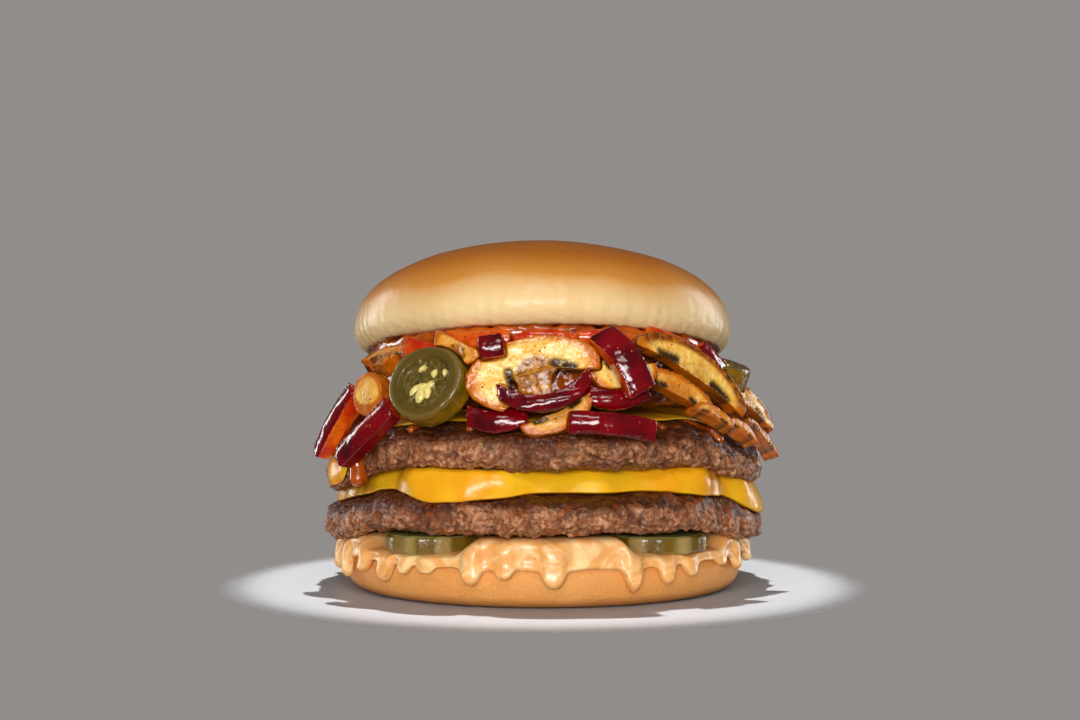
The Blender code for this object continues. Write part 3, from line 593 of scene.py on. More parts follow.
def relief_tree():
    """Pushes a surface out in lumps and fine grains, as far as its stored share allows."""
    tree, given = food_tree("relief", (
        ("Lump Size", "NodeSocketFloat", 3.0 * MM), ("Lump Height", "NodeSocketFloat", 1.0 * MM),
        ("Grain Size", "NodeSocketFloat", 1.0 * MM),
        ("Grain Height", "NodeSocketFloat", 0.3 * MM), ("Shift", "NodeSocketFloat", 0.0)))
    place = node(tree, "GeometryNodeInputPosition").outputs[0]
    moved = node(tree, "ShaderNodeVectorMath", {0: place, 1: given.outputs["Shift"]}).outputs[0]
    per_lump = maths(tree, "DIVIDE", 1.0, given.outputs["Lump Size"])
    per_grain = maths(tree, "DIVIDE", 1.0, given.outputs["Grain Size"])

    # Soft noise bends the places first, so that no lump is a plain ball
    swirl = node(tree, "ShaderNodeTexNoise",
                 {"Vector": moved, "Scale": maths(tree, "MULTIPLY", per_lump, 0.7)})
    centred = node(tree, "ShaderNodeVectorMath",
                   {0: swirl.outputs["Color"], 1: (0.5, 0.5, 0.5)}, operation="SUBTRACT")
    scaled = node(tree, "ShaderNodeVectorMath", {0: centred.outputs[0]}, operation="SCALE")
    tree.links.new(maths(tree, "MULTIPLY", given.outputs["Lump Size"], 2.2),
                   scaled.inputs["Scale"])
    warped = node(tree, "ShaderNodeVectorMath", {0: moved, 1: scaled.outputs[0]})
    lumps = node(tree, "ShaderNodeTexVoronoi",
                 {"Vector": warped.outputs[0], "Scale": per_lump, "Smoothness": 0.18},
                 feature="SMOOTH_F1").outputs[0]
    grains = node(tree, "ShaderNodeTexNoise",
                  {"Vector": moved, "Scale": per_grain, "Detail": 4.0}).outputs[0]

    # Both rise and fall about the even surface
    lump_rise = maths(tree, "MULTIPLY", maths(tree, "SUBTRACT", 0.45, lumps),
                      given.outputs["Lump Height"])
    grain_rise = maths(tree, "MULTIPLY", maths(tree, "SUBTRACT", grains, 0.5),
                       maths(tree, "MULTIPLY", given.outputs["Grain Height"], 2.0))
    share = node(tree, "GeometryNodeInputNamedAttribute", {"Name": "relief"},
                 data_type="FLOAT").outputs[0]
    rise = maths(tree, "MULTIPLY", maths(tree, "ADD", lump_rise, grain_rise), share)
    out = node(tree, "ShaderNodeVectorMath",
               {0: node(tree, "GeometryNodeInputNormal").outputs[0]}, operation="SCALE")
    tree.links.new(rise, out.inputs["Scale"])
    # Keeps how far each point lies between the lumps, for the beef's painted crevice shade
    kept = node(tree, "GeometryNodeStoreNamedAttribute",
                {"Geometry": given.outputs["Geometry"], "Name": "crevice", "Value": lumps},
                data_type="FLOAT", domain="POINT")
    pushed = node(tree, "GeometryNodeSetPosition",
                  {"Geometry": kept.outputs[0], "Offset": out.outputs[0]})
    node(tree, "NodeGroupOutput", {0: pushed.outputs[0]})
    return tree


def bead_tree():
    """Scatters small flattened beads over a surface, more where its stored share is high."""
    tree, given = food_tree("beads", (
        ("Density", "NodeSocketFloat", 100000.0), ("Smallest", "NodeSocketFloat", 0.2 * MM),
        ("Largest", "NodeSocketFloat", 0.5 * MM), ("Flatness", "NodeSocketFloat", 0.6),
        ("Length", "NodeSocketFloat", 1.0), ("Seed", "NodeSocketInt", 1),
        ("Material", "NodeSocketMaterial", None)))
    share = node(tree, "GeometryNodeInputNamedAttribute", {"Name": "hold"},
                 data_type="FLOAT").outputs[0]
    spread = node(tree, "GeometryNodeDistributePointsOnFaces",
                  {"Mesh": given.outputs["Geometry"], "Seed": given.outputs["Seed"],
                   "Density": maths(tree, "MULTIPLY", given.outputs["Density"], share)})
    bead = node(tree, "GeometryNodeMeshUVSphere", {"Segments": 8, "Rings": 5, "Radius": 1.0})
    flat = node(tree, "ShaderNodeCombineXYZ",
                {"X": given.outputs["Length"], "Y": 1.0, "Z": given.outputs["Flatness"]})
    shaped = node(tree, "GeometryNodeTransform",
                  {"Geometry": bead.outputs["Mesh"], "Scale": flat.outputs[0]})
    smooth = node(tree, "GeometryNodeSetShadeSmooth", {"Geometry": shaped.outputs[0]})

    # Most beads are small: a power of an even draw picks the size
    draw = node(tree, "FunctionNodeRandomValue",
                {2: 0.0, 3: 1.0, "Seed": given.outputs["Seed"]}, data_type="FLOAT").outputs[1]
    few_large = maths(tree, "POWER", draw, 2.5)
    size = node(tree, "ShaderNodeMapRange",
                {"Value": few_large, "To Min": given.outputs["Smallest"],
                 "To Max": given.outputs["Largest"]}).outputs[0]
    spin = node(tree, "FunctionNodeRandomValue", {2: 0.0, 3: 2.0 * math.pi, "Seed": 5},
                data_type="FLOAT").outputs[1]
    turned = node(tree, "FunctionNodeRotateRotation",
                  {0: spread.outputs["Rotation"]}, rotation_space="LOCAL")
    about = node(tree, "ShaderNodeCombineXYZ", {"Z": spin}).outputs[0]
    tree.links.new(node(tree, "FunctionNodeEulerToRotation", {0: about}).outputs[0],
                   turned.inputs[1])
    copies = node(tree, "GeometryNodeInstanceOnPoints",
                  {"Points": spread.outputs["Points"], "Instance": smooth.outputs[0],
                   "Rotation": turned.outputs[0], "Scale": size})
    real = node(tree, "GeometryNodeRealizeInstances", {0: copies.outputs[0]})
    coloured = node(tree, "GeometryNodeSetMaterial",
                    {"Geometry": real.outputs[0], "Material": given.outputs["Material"]})
    node(tree, "NodeGroupOutput", {0: coloured.outputs[0]})
    return tree


# Bun

def crown_material(colours):
    """Glossy egg-washed crust: golden brown on top and pale at the rim."""
    made, tree, place = food_material("crown_crust", 0.4, coat=0.12, coat_rough=0.22,
                                      specular=0.25)
    patch = cloud(tree, place, 22 * MM, 2.0)
    fine = cloud(tree, place, 2.2 * MM, 4.0)
    baked = maths(tree, "ADD", kept_value(tree, "baked"), swing(tree, patch, 0.16))
    baked = maths(tree, "ADD", baked, swing(tree, fine, 0.04))
    colour = tint(tree, colours.crust_rim, colours.crust_side, baked, -0.1, 0.4)
    colour = tint(tree, colour, colours.crust_top, baked, 0.3, 0.78)
    cut = tint(tree, CUT_DARK, CUT_LIGHT, fine, 0.4, 0.6)
    colour = blend(tree, kept_value(tree, "cut"), colour, cut)
    pores = cloud(tree, place, 0.7 * MM, 4.0)
    join_shader(tree, colour, fine, (0.3, 0.46), weighted(tree, pores, 0.5, fine), 0.12 * MM)
    return made


def heel_material(colours):
    """Matt toasted bread with fine crumb and tiny pores."""
    made, tree, place = food_material("heel_crust", 0.62, subsurface=0.12, scatter=1.5 * MM,
                                      specular=0.35)
    patch = cloud(tree, place, 14 * MM, 3.0)
    fine = cloud(tree, place, 1.1 * MM, 4.0)
    height = node(tree, "ShaderNodeSeparateXYZ", {0: place}).outputs["Z"]
    colour = blend(tree, maths(tree, "MULTIPLY", patch, 0.5), colours.heel_side, HEEL_PALE)
    colour = tint(tree, colour, colours.heel_base, weighted(tree, patch, 1.6 * MM, height),
                  3.6 * MM, 0.4 * MM)
    colour = tint(tree, colour, HEEL_PORE, cells(tree, place, 0.6 * MM), 0.30, 0.12, 0.22)
    colour = tint(tree, colour, HEEL_CRUMB, fine, 0.62, 0.78, 0.45)
    crumb = cloud(tree, place, 0.45 * MM, 3.0)
    join_shader(tree, colour, fine, (0.5, 0.75), maths(tree, "ADD", fine, crumb), 0.2 * MM)
    return made


def dress_crown(sizes, colours):
    """The crown, with soft waves and with fine folds where its side turns under."""
    item = subdivided_copy("crown", "bun_crown", 3)
    mesh = item.data
    points = points_of(mesh)
    lean = np.array(Matrix.Rotation(CROWN_LEAN, 3, "X"))
    own = (points - np.array((0.0, 0.0, CROWN_SEAT))) @ lean.T
    outward = normals_of(mesh) @ lean.T
    reach = np.hypot(own[:, 0], own[:, 1])
    turn = np.arctan2(own[:, 1], own[:, 0])
    rise = own[:, 2] / CROWN_HEIGHT
    low_wave = 0.03 * np.sin(5 * turn + 1.0) + 0.02 * np.sin(11 * turn)
    store(mesh, "baked", smooth_step(0.06, 0.94, rise + low_wave))
    store(mesh, "cut", smooth_step(0.88, 0.99, -outward[:, 2]))
    wrinkled = smooth_step(0.42, 0.1, rise) * smooth_step(30 * MM, 46 * MM, reach)
    folds = np.sin(61 * turn + 3 * np.sin(7 * turn)) + 0.6 * np.sin(103 * turn + 1.3)
    waves = [noise.noise(Vector(point) / CROWN_WAVE_SIZE) for point in points]
    push = sizes.crown_wave * np.array(waves) + CROWN_FOLD_HEIGHT * folds * wrinkled
    push_out(mesh, push)
    return finish_piece(item, "bun_crown", crown_material(colours))


def dress_heel(colours):
    item = subdivided_copy("heel", "bun_heel", 3)
    return finish_piece(item, "bun_heel", heel_material(colours))


# Patties

def droop(patty, x, y):
    """How far a patty hangs down at its left and right ends, and a little all round."""
    left = patty["left"] * smooth_step(DROOP_START, DROOP_END, -x)
    right = patty["right"] * smooth_step(DROOP_START, DROOP_END, x)
    back = 2.0 * MM * smooth_step(DROOP_START, DROOP_END, y)
    return left + right + back


def half_and_middle(patty):
    """Half the height of a patty and the height of its middle."""
    return (patty["high"] - patty["low"]) / 2.0, (patty["high"] + patty["low"]) / 2.0


def apart(azimuth, other):
    """Degrees between two azimuths, from 0 to 180."""
    return abs((azimuth - other + 180) % 360 - 180)


def patty_radius(patty, azimuth):
    wave = noise.noise(toward(azimuth) * 2.2 + Vector((0.0, 0.0, patty["seed"])))
    return patty["radius"] * (1.0 + 0.022 * wave)


def crag_share(reach_share):
    """How rough the beef is: smooth inside and craggy near its rim."""
    return smooth_step(0.78, 0.95, reach_share)


def patty_face(patty, x, y, sign):
    """Height of a patty's upper face, sign 1, or lower face, sign -1, at a place."""
    share = min(1.0, math.hypot(x, y) / patty_radius(patty, math.degrees(math.atan2(x, -y))))
    cosine = share ** (1.0 / EDGE_ROUND)
    half, middle = half_and_middle(patty)
    height = middle + sign * half * math.sqrt(max(0.0, 1.0 - cosine * cosine)) ** FACE_FLAT
    if sign > 0:
        height += patty["dome"] * (1.0 - cosine ** 0.7)
    return height - droop(patty, x, y)


def beef_point(patty, azimuth, latitude, out=0.0, rough=1.0):
    """A point of the cooked beef: its top slopes off to the rim, its lower edge is square."""
    cosine = max(0.0, math.cos(latitude))
    sine = math.sin(latitude)
    ray = toward(azimuth)
    half, middle = half_and_middle(patty)
    side = cosine ** EDGE_ROUND
    height = half * math.copysign(abs(sine) ** (BEEF_TOP if sine > 0 else BEEF_UNDER), sine)
    spot = ray * patty_radius(patty, azimuth) * side + Vector((0.0, 0.0, middle + height))
    if sine > 0:
        spot.z += patty["dome"] * (1.0 - cosine ** 0.7)
    lumps = noise.fractal(spot / RAGGED_SIZE + Vector((0.0, patty["seed"], 0.0)), 1.0, 2.0, 3)
    normal = (ray * cosine ** 0.8 + Vector((0.0, 0.0, sine))).normalized()
    share = crag_share(side)
    spot += normal * (RAGGED_HEIGHT * min(0.9, lumps) * rough * share + out)
    spot.z -= droop(patty, spot.x, spot.y)
    return spot


def meat_material(colours):
    """Crumbly greasy beef, seared on the faces, with painted shade in the crevices."""
    made, tree, place = food_material("ground_beef", 0.4, coat=0.12, coat_rough=0.12,
                                      specular=0.3)
    patch = cloud(tree, place, 9 * MM, 3.0)
    fine = cloud(tree, place, 1.2 * MM, 4.0)
    grain = cells(tree, place, 1.3 * MM)
    colour = tint(tree, colours.meat, colours.meat_light, fine, 0.42, 0.62)
    colour = tint(tree, colour, BEEF_BROWN, patch, 0.46, 0.66, 0.7)
    seared = maths(tree, "ADD", kept_value(tree, "seared"), swing(tree, patch, 1.3))
    seared = maths(tree, "ADD", seared, swing(tree, fine, 0.8))
    sear = tint(tree, SEAR_LIGHT, colours.meat_seared, grain, 0.2, 0.6)
    colour = tint(tree, colour, sear, seared, 0.22, 0.52)
    stain = cloud(tree, place, 6 * MM, 2.0, 1.0)
    colour = tint(tree, colour, FAT_STAIN, stain, 0.6, 0.7, 0.6)
    # Painted shade: darker between the lumps, where the crevices lie in shade
    colour = tint(tree, colour, colours.meat_deep, kept_value(tree, "crevice"), 0.45, 0.9, 0.7)
    tiny = cloud(tree, place, 0.4 * MM, 3.0)
    height = weighted(tree, fine, 1.3, maths(tree, "SUBTRACT", tiny, grain))
    join_shader(tree, colour, cloud(tree, place, 0.9 * MM, 3.0), (0.05, 0.7), height,
                0.35 * MM)
    return made


def dress_patty(node_name, patty, tree, sizes, material):
    """A patty of crumbly beef, rougher at its rim and browner towards its top."""
    def section(azimuth):
        shares = [1.0 - 2.0 * ring / BEEF_RINGS for ring in range(BEEF_RINGS + 1)]
        return [beef_point(patty, azimuth, math.copysign(abs(s) ** 1.5 * math.pi / 2, s))
                for s in shares]

    item = shell(node_name.replace("patty", "beef"), BEEF_SIDES, section)
    mesh = item.data
    points = points_of(mesh)
    reach = np.hypot(points[:, 0], points[:, 1]) / patty["radius"]
    fall = np.array([droop(patty, x, y) for x, y, _ in points])
    level = (points[:, 2] + fall - patty["low"]) / (patty["high"] - patty["low"])
    smoother = 1.0 - 0.5 * smooth_step(0.4, 0.8, level)
    store(mesh, "relief", (0.15 + 0.85 * smooth_step(0.80, 0.95, reach)) * smoother)
    store(mesh, "seared", smooth_step(0.35, 1.0, level) * 0.9)
    run_tree(item, tree, {"Lump Size": sizes.meat_lump, "Lump Height": sizes.meat_lump_height,
                          "Grain Size": sizes.meat_grain,
                          "Grain Height": sizes.meat_grain_height, "Shift": patty["seed"]})
    return finish_piece(item, node_name, material)


# Cheese

def hanging_edge(azimuth, rest, hangs):
    """Latitude on a patty down to which the cheese on it reaches, in radians."""
    lowest = 0.0
    for centre, width, depth in hangs:
        off = apart(azimuth, centre)
        lowest = max(lowest, depth * (1.0 - smooth_step(0.0, width, off)))
    return math.radians(rest - lowest)


def lower_cheese_edge(azimuth):
    return hanging_edge(azimuth, LOWER_CHEESE_REST, LOWER_CHEESE_HANGS)


def upper_cheese_edge(azimuth):
    """The upper slice is square and off centre: three of its corners hang over."""
    return hanging_edge(azimuth, UPPER_CHEESE_REST, UPPER_CHEESE_HANGS)


def cheese_material(colours):
    """Melted yellow cheese, soft and glossy."""
    made, tree, place = food_material("melted_cheese", 0.3, coat=0.12, subsurface=0.15,
                                      specular=0.35)
    broad = cloud(tree, place, 12 * MM, 2.0)
    fine = cloud(tree, place, 1.6 * MM, 3.0)
    colour = tint(tree, colours.cheese, CHEESE_DEEP, broad, 0.35, 0.7)
    colour = tint(tree, colour, CHEESE_LIGHT, fine, 0.6, 0.8, 0.3)
    join_shader(tree, colour, fine, (0.22, 0.4), weighted(tree, broad, 4.0, fine), 0.12 * MM)
    return made


def melt_section(patty, azimuth, last, thick, cover):
    """Down the melted sheet's upper face, round its bulging lip and back underneath."""
    start = max(last + math.radians(10.0), LIP_START if cover else last + math.radians(24.0))
    upper, under = [], []
    for step in range(9):
        share = step / 8.0
        follow = math.pi / 2 - (math.pi / 2 - start) * share ** 0.7
        high = beef_point(patty, azimuth, follow, 0.2 * MM + thick, 0.4)
        if cover:
            high.z = beef_point(cover, azimuth, -follow, -0.3 * MM, 0.4).z
        upper.append(high)
    ray = toward(azimuth)
    tip_thick = thick * (0.62 if cover else 0.7)
    shoulder = upper[-1] + ray * (1.5 * MM if cover else 0.6 * MM)
    shoulder.z -= 0.3 * thick
    tip = beef_point(patty, azimuth, last, tip_thick, 0.5)
    belly = (shoulder + tip) / 2 + ray * (0.5 * MM)
    chin = beef_point(patty, azimuth, last - math.radians(4.0), 0.5 * tip_thick, 0.5)
    under.append(beef_point(patty, azimuth, last + math.radians(1.0), 0.0, 0.5))
    for step in range(6):
        share = (step + 1) / 6.0
        follow = last + (math.pi / 2 - last) * share ** 1.3
        under.append(beef_point(patty, azimuth, follow, 0.0, 0.5))
    return corners_cut(upper + [shoulder, belly, tip, chin] + under, 3)


def dress_cheese(name, node_name, patty, edge, thick, cover, material):
    """A sheet that lies on the patty below, fills the gap to the one above and hangs over."""
    def section(azimuth):
        spot = toward(azimuth) * 4.0 + Vector((0.0, 0.0, patty["seed"]))
        ragged = noise.noise(spot) + 0.5 * noise.noise(spot * 2.3)
        return melt_section(patty, azimuth, edge(azimuth) - math.radians(5.0 * ragged), thick,
                            cover)

    item = shell(name, CHEESE_SIDES, section)
    modified(item, "melted edge", "SMOOTH", factor=0.5, iterations=6)
    return finish_piece(applied(item), node_name, material)


# Sauce and pickles

def heel_radius(height):
    """Radius of the heel at a height."""
    if height >= HEEL_WIDEST:
        share = min(1.0, (height - HEEL_WIDEST) / (HEEL_TOP - HEEL_WIDEST))
        return HEEL_RADIUS - 2.6 * MM * (1.0 - math.sqrt(1.0 - share * share))
    sine = 1.0 - height / HEEL_WIDEST
    cosine = math.sqrt(max(0.0, 1.0 - sine * sine))
    return HEEL_FLAT_RADIUS + (HEEL_RADIUS - HEEL_FLAT_RADIUS) * cosine ** 0.7


def drips():
    """Drips as (azimuth, height of the tip, half width)."""
    listed = [(azimuth, low * MM, width) for azimuth, low, width in FRONT_DRIPS]
    for number in range(BACK_DRIPS):
        azimuth = 97 + number * (263 - 97) / (BACK_DRIPS - 1)
        low = 6.0 + 2.0 * math.sin(number * 2.3)
        listed.append(((azimuth + 180) % 360 - 180, low * MM, 3.3))
    return listed


def drip_run(azimuth, drip_list):
    """How far down the sauce runs at an azimuth: round drips with wide arches between."""
    best = 0.0
    for centre, low, width in drip_list:
        off = apart(azimuth, centre) / width
        finger = max(0.0, 1.0 - (off / 0.78) ** 2.4) ** 0.6
        best = max(best, (SAUCE_VALLEY - low) * (0.7 * finger + 0.3 * math.exp(-off ** 2)))
    return best


def corners_cut(points, rounds):
    """Rounds an open line by cutting its corners, and keeps its ends."""
    for _ in range(rounds):
        cut = [points[0]]
        for first, second in zip(points, points[1:]):
            cut += [first.lerp(second, 0.25), first.lerp(second, 0.75)]
        points = cut + [points[-1]]
    return points


def pickle_share(azimuth):
    """1 where a pickle pushes the sauce down at this azimuth, 0 elsewhere."""
    best = 0.0
    for _, radius, _, centre, _ in PICKLES:
        at = math.degrees(math.atan2(centre[0], -centre[1]))
        off = apart(azimuth, at)
        half = math.degrees(radius / math.hypot(centre[0], centre[1]))
        best = max(best, 1.0 - smooth_step(half * 0.84, half * 1.3, off))
    return best


def sauce_material(colours):
    """Thick peach sauce with pale streaks, very glossy."""
    made, tree, place = food_material("burger_sauce_finish", 0.3, coat=0.16, coat_rough=0.05,
                                      subsurface=0.2, scatter=1.2 * MM)
    swirl = cloud(tree, place, 7 * MM, 3.0, 1.6)
    fine = cloud(tree, place, 1.5 * MM, 3.0)
    colour = tint(tree, colours.sauce, colours.sauce_light, swirl, 0.46, 0.66)
    colour = tint(tree, colour, SAUCE_DEEP, swirl, 0.42, 0.3, 0.5)
    colour = tint(tree, colour, SAUCE_FLECK, cells(tree, place, 2.4 * MM), 0.11, 0.07, 0.5)
    join_shader(tree, colour, fine, (0.24, 0.4), weighted(tree, fine, 0.2, swirl), 0.16 * MM)
    return made


def dress_sauce(colours):
    """The sauce: it lies on the heel, bulges over its rim and runs down in drips."""
    drip_list = drips()

    def section(azimuth):
        run = drip_run(azimuth, drip_list)
        ray = toward(azimuth)
        wave = noise.noise(ray * 9.0) + 0.5 * noise.noise(ray * 21.0)
        low = SAUCE_VALLEY - run + 0.5 * MM * wave
        pressed = pickle_share(azimuth)
        bulge = min(1.0, run / (3.5 * MM))
        thick = (1.3 + 1.3 * bulge + 0.5 * wave) * MM
        rim = HEEL_RADIUS - 0.9 * MM

        def top(radius):
            under = patty_face(LOWER_PATTY, radius * ray.x, radius * ray.y, -1) + 0.1 * MM
            free = min(SAUCE_TOP + 0.6 * MM, under)
            return free * (1.0 - pressed) + (HEEL_TOP + 0.7 * MM) * pressed

        def level(share):
            return top(rim) * (1.0 - share) + low * share

        def wall(height, extra):
            return max(heel_radius(height), rim if height > HEEL_WIDEST else 0.0) + extra

        # Out over the top, round the rim, down the drip, and back up behind it
        back = 0.4 * low + 0.6 * HEEL_TOP
        line = [(0.0, SAUCE_TOP - 1.2 * MM), (0.6 * rim, SAUCE_TOP - 1.2 * MM), (rim, top(rim)),
                (wall(HEEL_WIDEST, thick), level(0.22)), (wall(level(0.7), thick), level(0.7)),
                (wall(low, 1.25 * thick), level(0.92)), (wall(low, 0.6 * thick), low - 0.3 * MM),
                (wall(low, 0.2 * MM), low), (wall(back, 0.1 * MM), back),
                (rim, HEEL_TOP + 0.2 * MM), (0.0, HEEL_TOP + 0.2 * MM)]
        points = [ray * radius + Vector((0.0, 0.0, height)) for radius, height in line]
        return corners_cut(points, 2)

    item = shell("sauce", SAUCE_SIDES, section)
    modified(item, "thick flow", "SMOOTH", factor=0.5, iterations=8)
    return finish_piece(applied(item), "burger_sauce", sauce_material(colours))


def pickle_material(colours):
    """Wet pickled cucumber: upright bands of painted highlight on its skin, and paler flesh on its
    cut faces.
    """
    made, tree, place = food_material("pickled_cucumber", 0.3, coat=0.2, subsurface=0.2,
                                      scatter=1.5 * MM)
    fine = cloud(tree, place, 1.2 * MM, 3.0)
    # Painted highlights: pale upright bands on the skin
    skin = tint(tree, colours.pickle, colours.pickle_pale, kept_value(tree, "band"), 0.35, 0.75)
    skin = tint(tree, skin, PICKLE_DARK, fine, 0.5, 0.8, 0.4)
    colour = blend(tree, kept_value(tree, "face"), skin, PICKLE_FACE)
    join_shader(tree, colour, fine, (0.15, 0.35), fine, 0.15 * MM)
    return made


def dress_pickles(sizes, colours):
    material = pickle_material(colours)
    for name, radius, _, centre, turn in PICKLES:
        item = rounded_copy(name.replace("pickle", "gherkin"), name, sizes.slice_voxel, 3)
        mesh = item.data
        spot = (Matrix.Translation(Vector(centre) * MM)
                @ Matrix.Rotation(math.radians(turn), 4, "Z"))
        own, facing = own_view(mesh, spot)
        angle = np.arctan2(own[:, 1], own[:, 0])
        reach = np.hypot(own[:, 0], own[:, 1]) / (radius * MM)
        # Upright bands where a painted highlight lies on the skin, partly in step with the ridges
        band = 0.45 + 0.35 * np.sin(7 * angle + 0.6) + 0.2 * np.sin(11 * angle + 2.0)
        store(mesh, "band", band)
        store(mesh, "face", smooth_step(0.5, 0.9, np.abs(facing[:, 2])) * (reach < 0.97))
        ridge = 0.16 * MM * np.sin(11 * angle + 2.0) * smooth_step(0.8, 1.0, reach)
        push_out(mesh, ridge)
        finish_piece(item, name, material)


# Topping

def ring_rows():
    """Name, kind and place of each piece round the sides and the back."""
    words = {"cap": "mushroom", "strip": "pepper", "round": "jalapeno"}
    for ring, rows in (("lower", LOWER_RING), ("upper", UPPER_RING)):
        for kind, azimuth, radius, height, lean, roll in rows:
            centre = toward(azimuth) * radius + Vector((0.0, 0.0, height))
            name = "_".join((words[kind], ring, str(azimuth)))
            yield name, kind, placed(centre, azimuth, lean, roll), azimuth


def distance_to_line(u, v, start, end):
    """Distance of points (u, v) from a straight line between two places."""
    ax, ay = end[0] - start[0], end[1] - start[1]
    along = np.clip(((u - start[0]) * ax + (v - start[1]) * ay) / (ax * ax + ay * ay), 0.0, 1.0)
    return np.hypot(u - start[0] - along * ax, v - start[1] - along * ay)


def mushroom_material(colours):
    """Fried mushroom in an orange glaze: pale flesh, browned skin and dark gills."""
    made, tree, place = food_material("glazed_mushroom", 0.2, coat=0.16, coat_rough=0.06,
                                      specular=0.38)
    broad = cloud(tree, place, 7 * MM, 3.0, 0.8)
    fine = cloud(tree, place, 1.4 * MM, 4.0)
    streak = cloud(tree, place, 3.0 * MM, 4.0, 2.5)
    dull = maths(tree, "SUBTRACT", 0.95, kept_value(tree, "tone"))
    glazed = maths(tree, "ADD", dull, swing(tree, broad, 1.4))
    glazed = weighted(tree, kept_value(tree, "edge"), 1.2, glazed)
    colour = tint(tree, colours.mushroom, MUSHROOM_LIGHT, streak, 0.4, 0.66)
    colour = tint(tree, colour, colours.mushroom_glaze, glazed, 0.1, 0.8)
    thick = maths(tree, "SUBTRACT", glazed, maths(tree, "MULTIPLY", fine, 0.6))
    colour = tint(tree, colour, MUSHROOM_DEEP, thick, 0.45, 1.0, 0.6)
    stem = tint(tree, STEM_DARK, STEM_LIGHT, streak, 0.4, 0.62)
    colour = blend(tree, kept_value(tree, "stem"), colour, stem)
    char = cloud(tree, place, 2.2 * MM, 3.0)
    skin = tint(tree, colours.mushroom_skin, CAP_SKIN_LIGHT, fine, 0.4, 0.66)
    skin = tint(tree, skin, colours.gill, char, 0.54, 0.66, 0.85)
    colour = blend(tree, kept_value(tree, "skin"), colour, skin)
    colour = tint(tree, colour, colours.gill, fine, 0.1, 0.4, kept_value(tree, "gill"))
    beads = fade(tree, cells(tree, place, 1.1 * MM), 0.5, 0.1)
    height = weighted(tree, streak, 1.4, weighted(tree, beads, 0.25, fine))
    join_shader(tree, colour, fine, (0.1, 0.34), height, 0.16 * MM)
    return made


def dress_mushroom(name, shape, spot, tone, tree, sizes, material):
    """One slice: its skin, gills and stem are found from its own outline."""
    width, height_share, left, right, stem = shape
    item = rounded_copy(name.replace("mushroom", "cap"), name, sizes.slice_voxel, 5)
    mesh = item.data
    half = width / 2 * MM
    own, facing = own_view(mesh, spot)
    u, v = own[:, 0] / half, own[:, 1] / half
    reach = np.hypot(u, np.where(v > 0, v / height_share, v / 0.58))
    flat = smooth_step(0.45, 0.8, np.abs(facing[:, 2]))
    store(mesh, "tone", tone)
    store(mesh, "edge", np.maximum(smooth_step(0.7, 1.0, reach), 1.0 - flat))
    browned = smooth_step(0.72, 0.86, reach) * smooth_step(-0.05, 0.1, v)
    rim = (1.0 - smooth_step(0.2, 0.6, np.abs(facing[:, 2]))) * (reach > 0.8)
    store(mesh, "skin", np.maximum(browned, rim) if name in BROWNED_SLICES else 0.45 * rim)
    gill = np.zeros(len(u))
    for side, curl in ((-1, left), (1, right)):
        turn = math.radians(180.0 + curl) if side < 0 else math.radians(-curl)
        tip = (0.62 * math.cos(turn), 0.5 * math.sin(turn) + 0.04)
        near = distance_to_line(u, v, (side * 0.34, 0.06), (tip[0], tip[1] + 0.05))
        gill = np.maximum(gill, 1.0 - smooth_step(0.03, 0.1, near))
    gill *= 1.0 if left or right else 0.0
    store(mesh, "gill", gill)
    stalk = 1.0 - smooth_step(0.8, 1.05, np.hypot((u - 0.05) / 0.38, (v + 0.15) / 0.4))
    store(mesh, "stem", stalk * flat * (1.0 if stem else 0.3))
    comb = np.sin(u * half / (0.6 * MM) * math.pi) * 0.1 * MM - 0.4 * MM
    dent = gill * flat * comb
    push_out(mesh, dent)
    roughened(item, tree, MUSHROOM_RELIEF, tone)
    return finish_piece(item, name, material)


def pepper_material(colours):
    """Fried red pepper: a glossy crimson skin over orange-red flesh."""
    made, tree, place = food_material("fried_pepper", 0.16, coat=0.25, coat_rough=0.05,
                                      specular=0.4)
    broad = cloud(tree, place, 7 * MM, 2.0)
    fine = cloud(tree, place, 1.2 * MM, 3.0)
    skin = tint(tree, colours.pepper_skin, PEPPER_DARK, broad, 0.35, 0.7)
    flesh = tint(tree, colours.pepper_flesh, FLESH_LIGHT, broad, 0.42, 0.62)
    flesh = tint(tree, flesh, FLESH_RED, fine, 0.5, 0.75, 0.6)
    border = maths(tree, "ADD", kept_value(tree, "skin"), swing(tree, fine, 0.2))
    join_shader(tree, tint(tree, flesh, skin, border, 0.3, 0.5),
                cloud(tree, place, 2.4 * MM, 3.0), (0.06, 0.2),
                weighted(tree, broad, 2.0, fine), 0.1 * MM)
    return made


def dress_pepper(name, width, face, flesh_side, spot, tree, sizes, material):
    """One strip: skin on its outer face and one long side, flesh elsewhere."""
    item = rounded_copy(name.replace("pepper", "strip"), name, sizes.slice_voxel, 6)
    mesh = item.data
    own, facing = own_view(mesh, spot)
    outward = facing[:, 2] if face == "skin" else -facing[:, 2]
    skin = smooth_step(0.1, 0.5, outward + 0.8 * np.maximum(0.0, -flesh_side * facing[:, 1]))
    store(mesh, "skin", skin)
    across = np.clip(2.0 * own[:, 1] / (width * MM), -1.0, 1.0)
    bulge = PEPPER_BULGE * smooth_step(0.3, 0.8, facing[:, 2]) * (0.6 - across ** 2)
    push_out(mesh, bulge)
    roughened(item, tree, PEPPER_RELIEF, 2.0)
    return finish_piece(item, name, material)


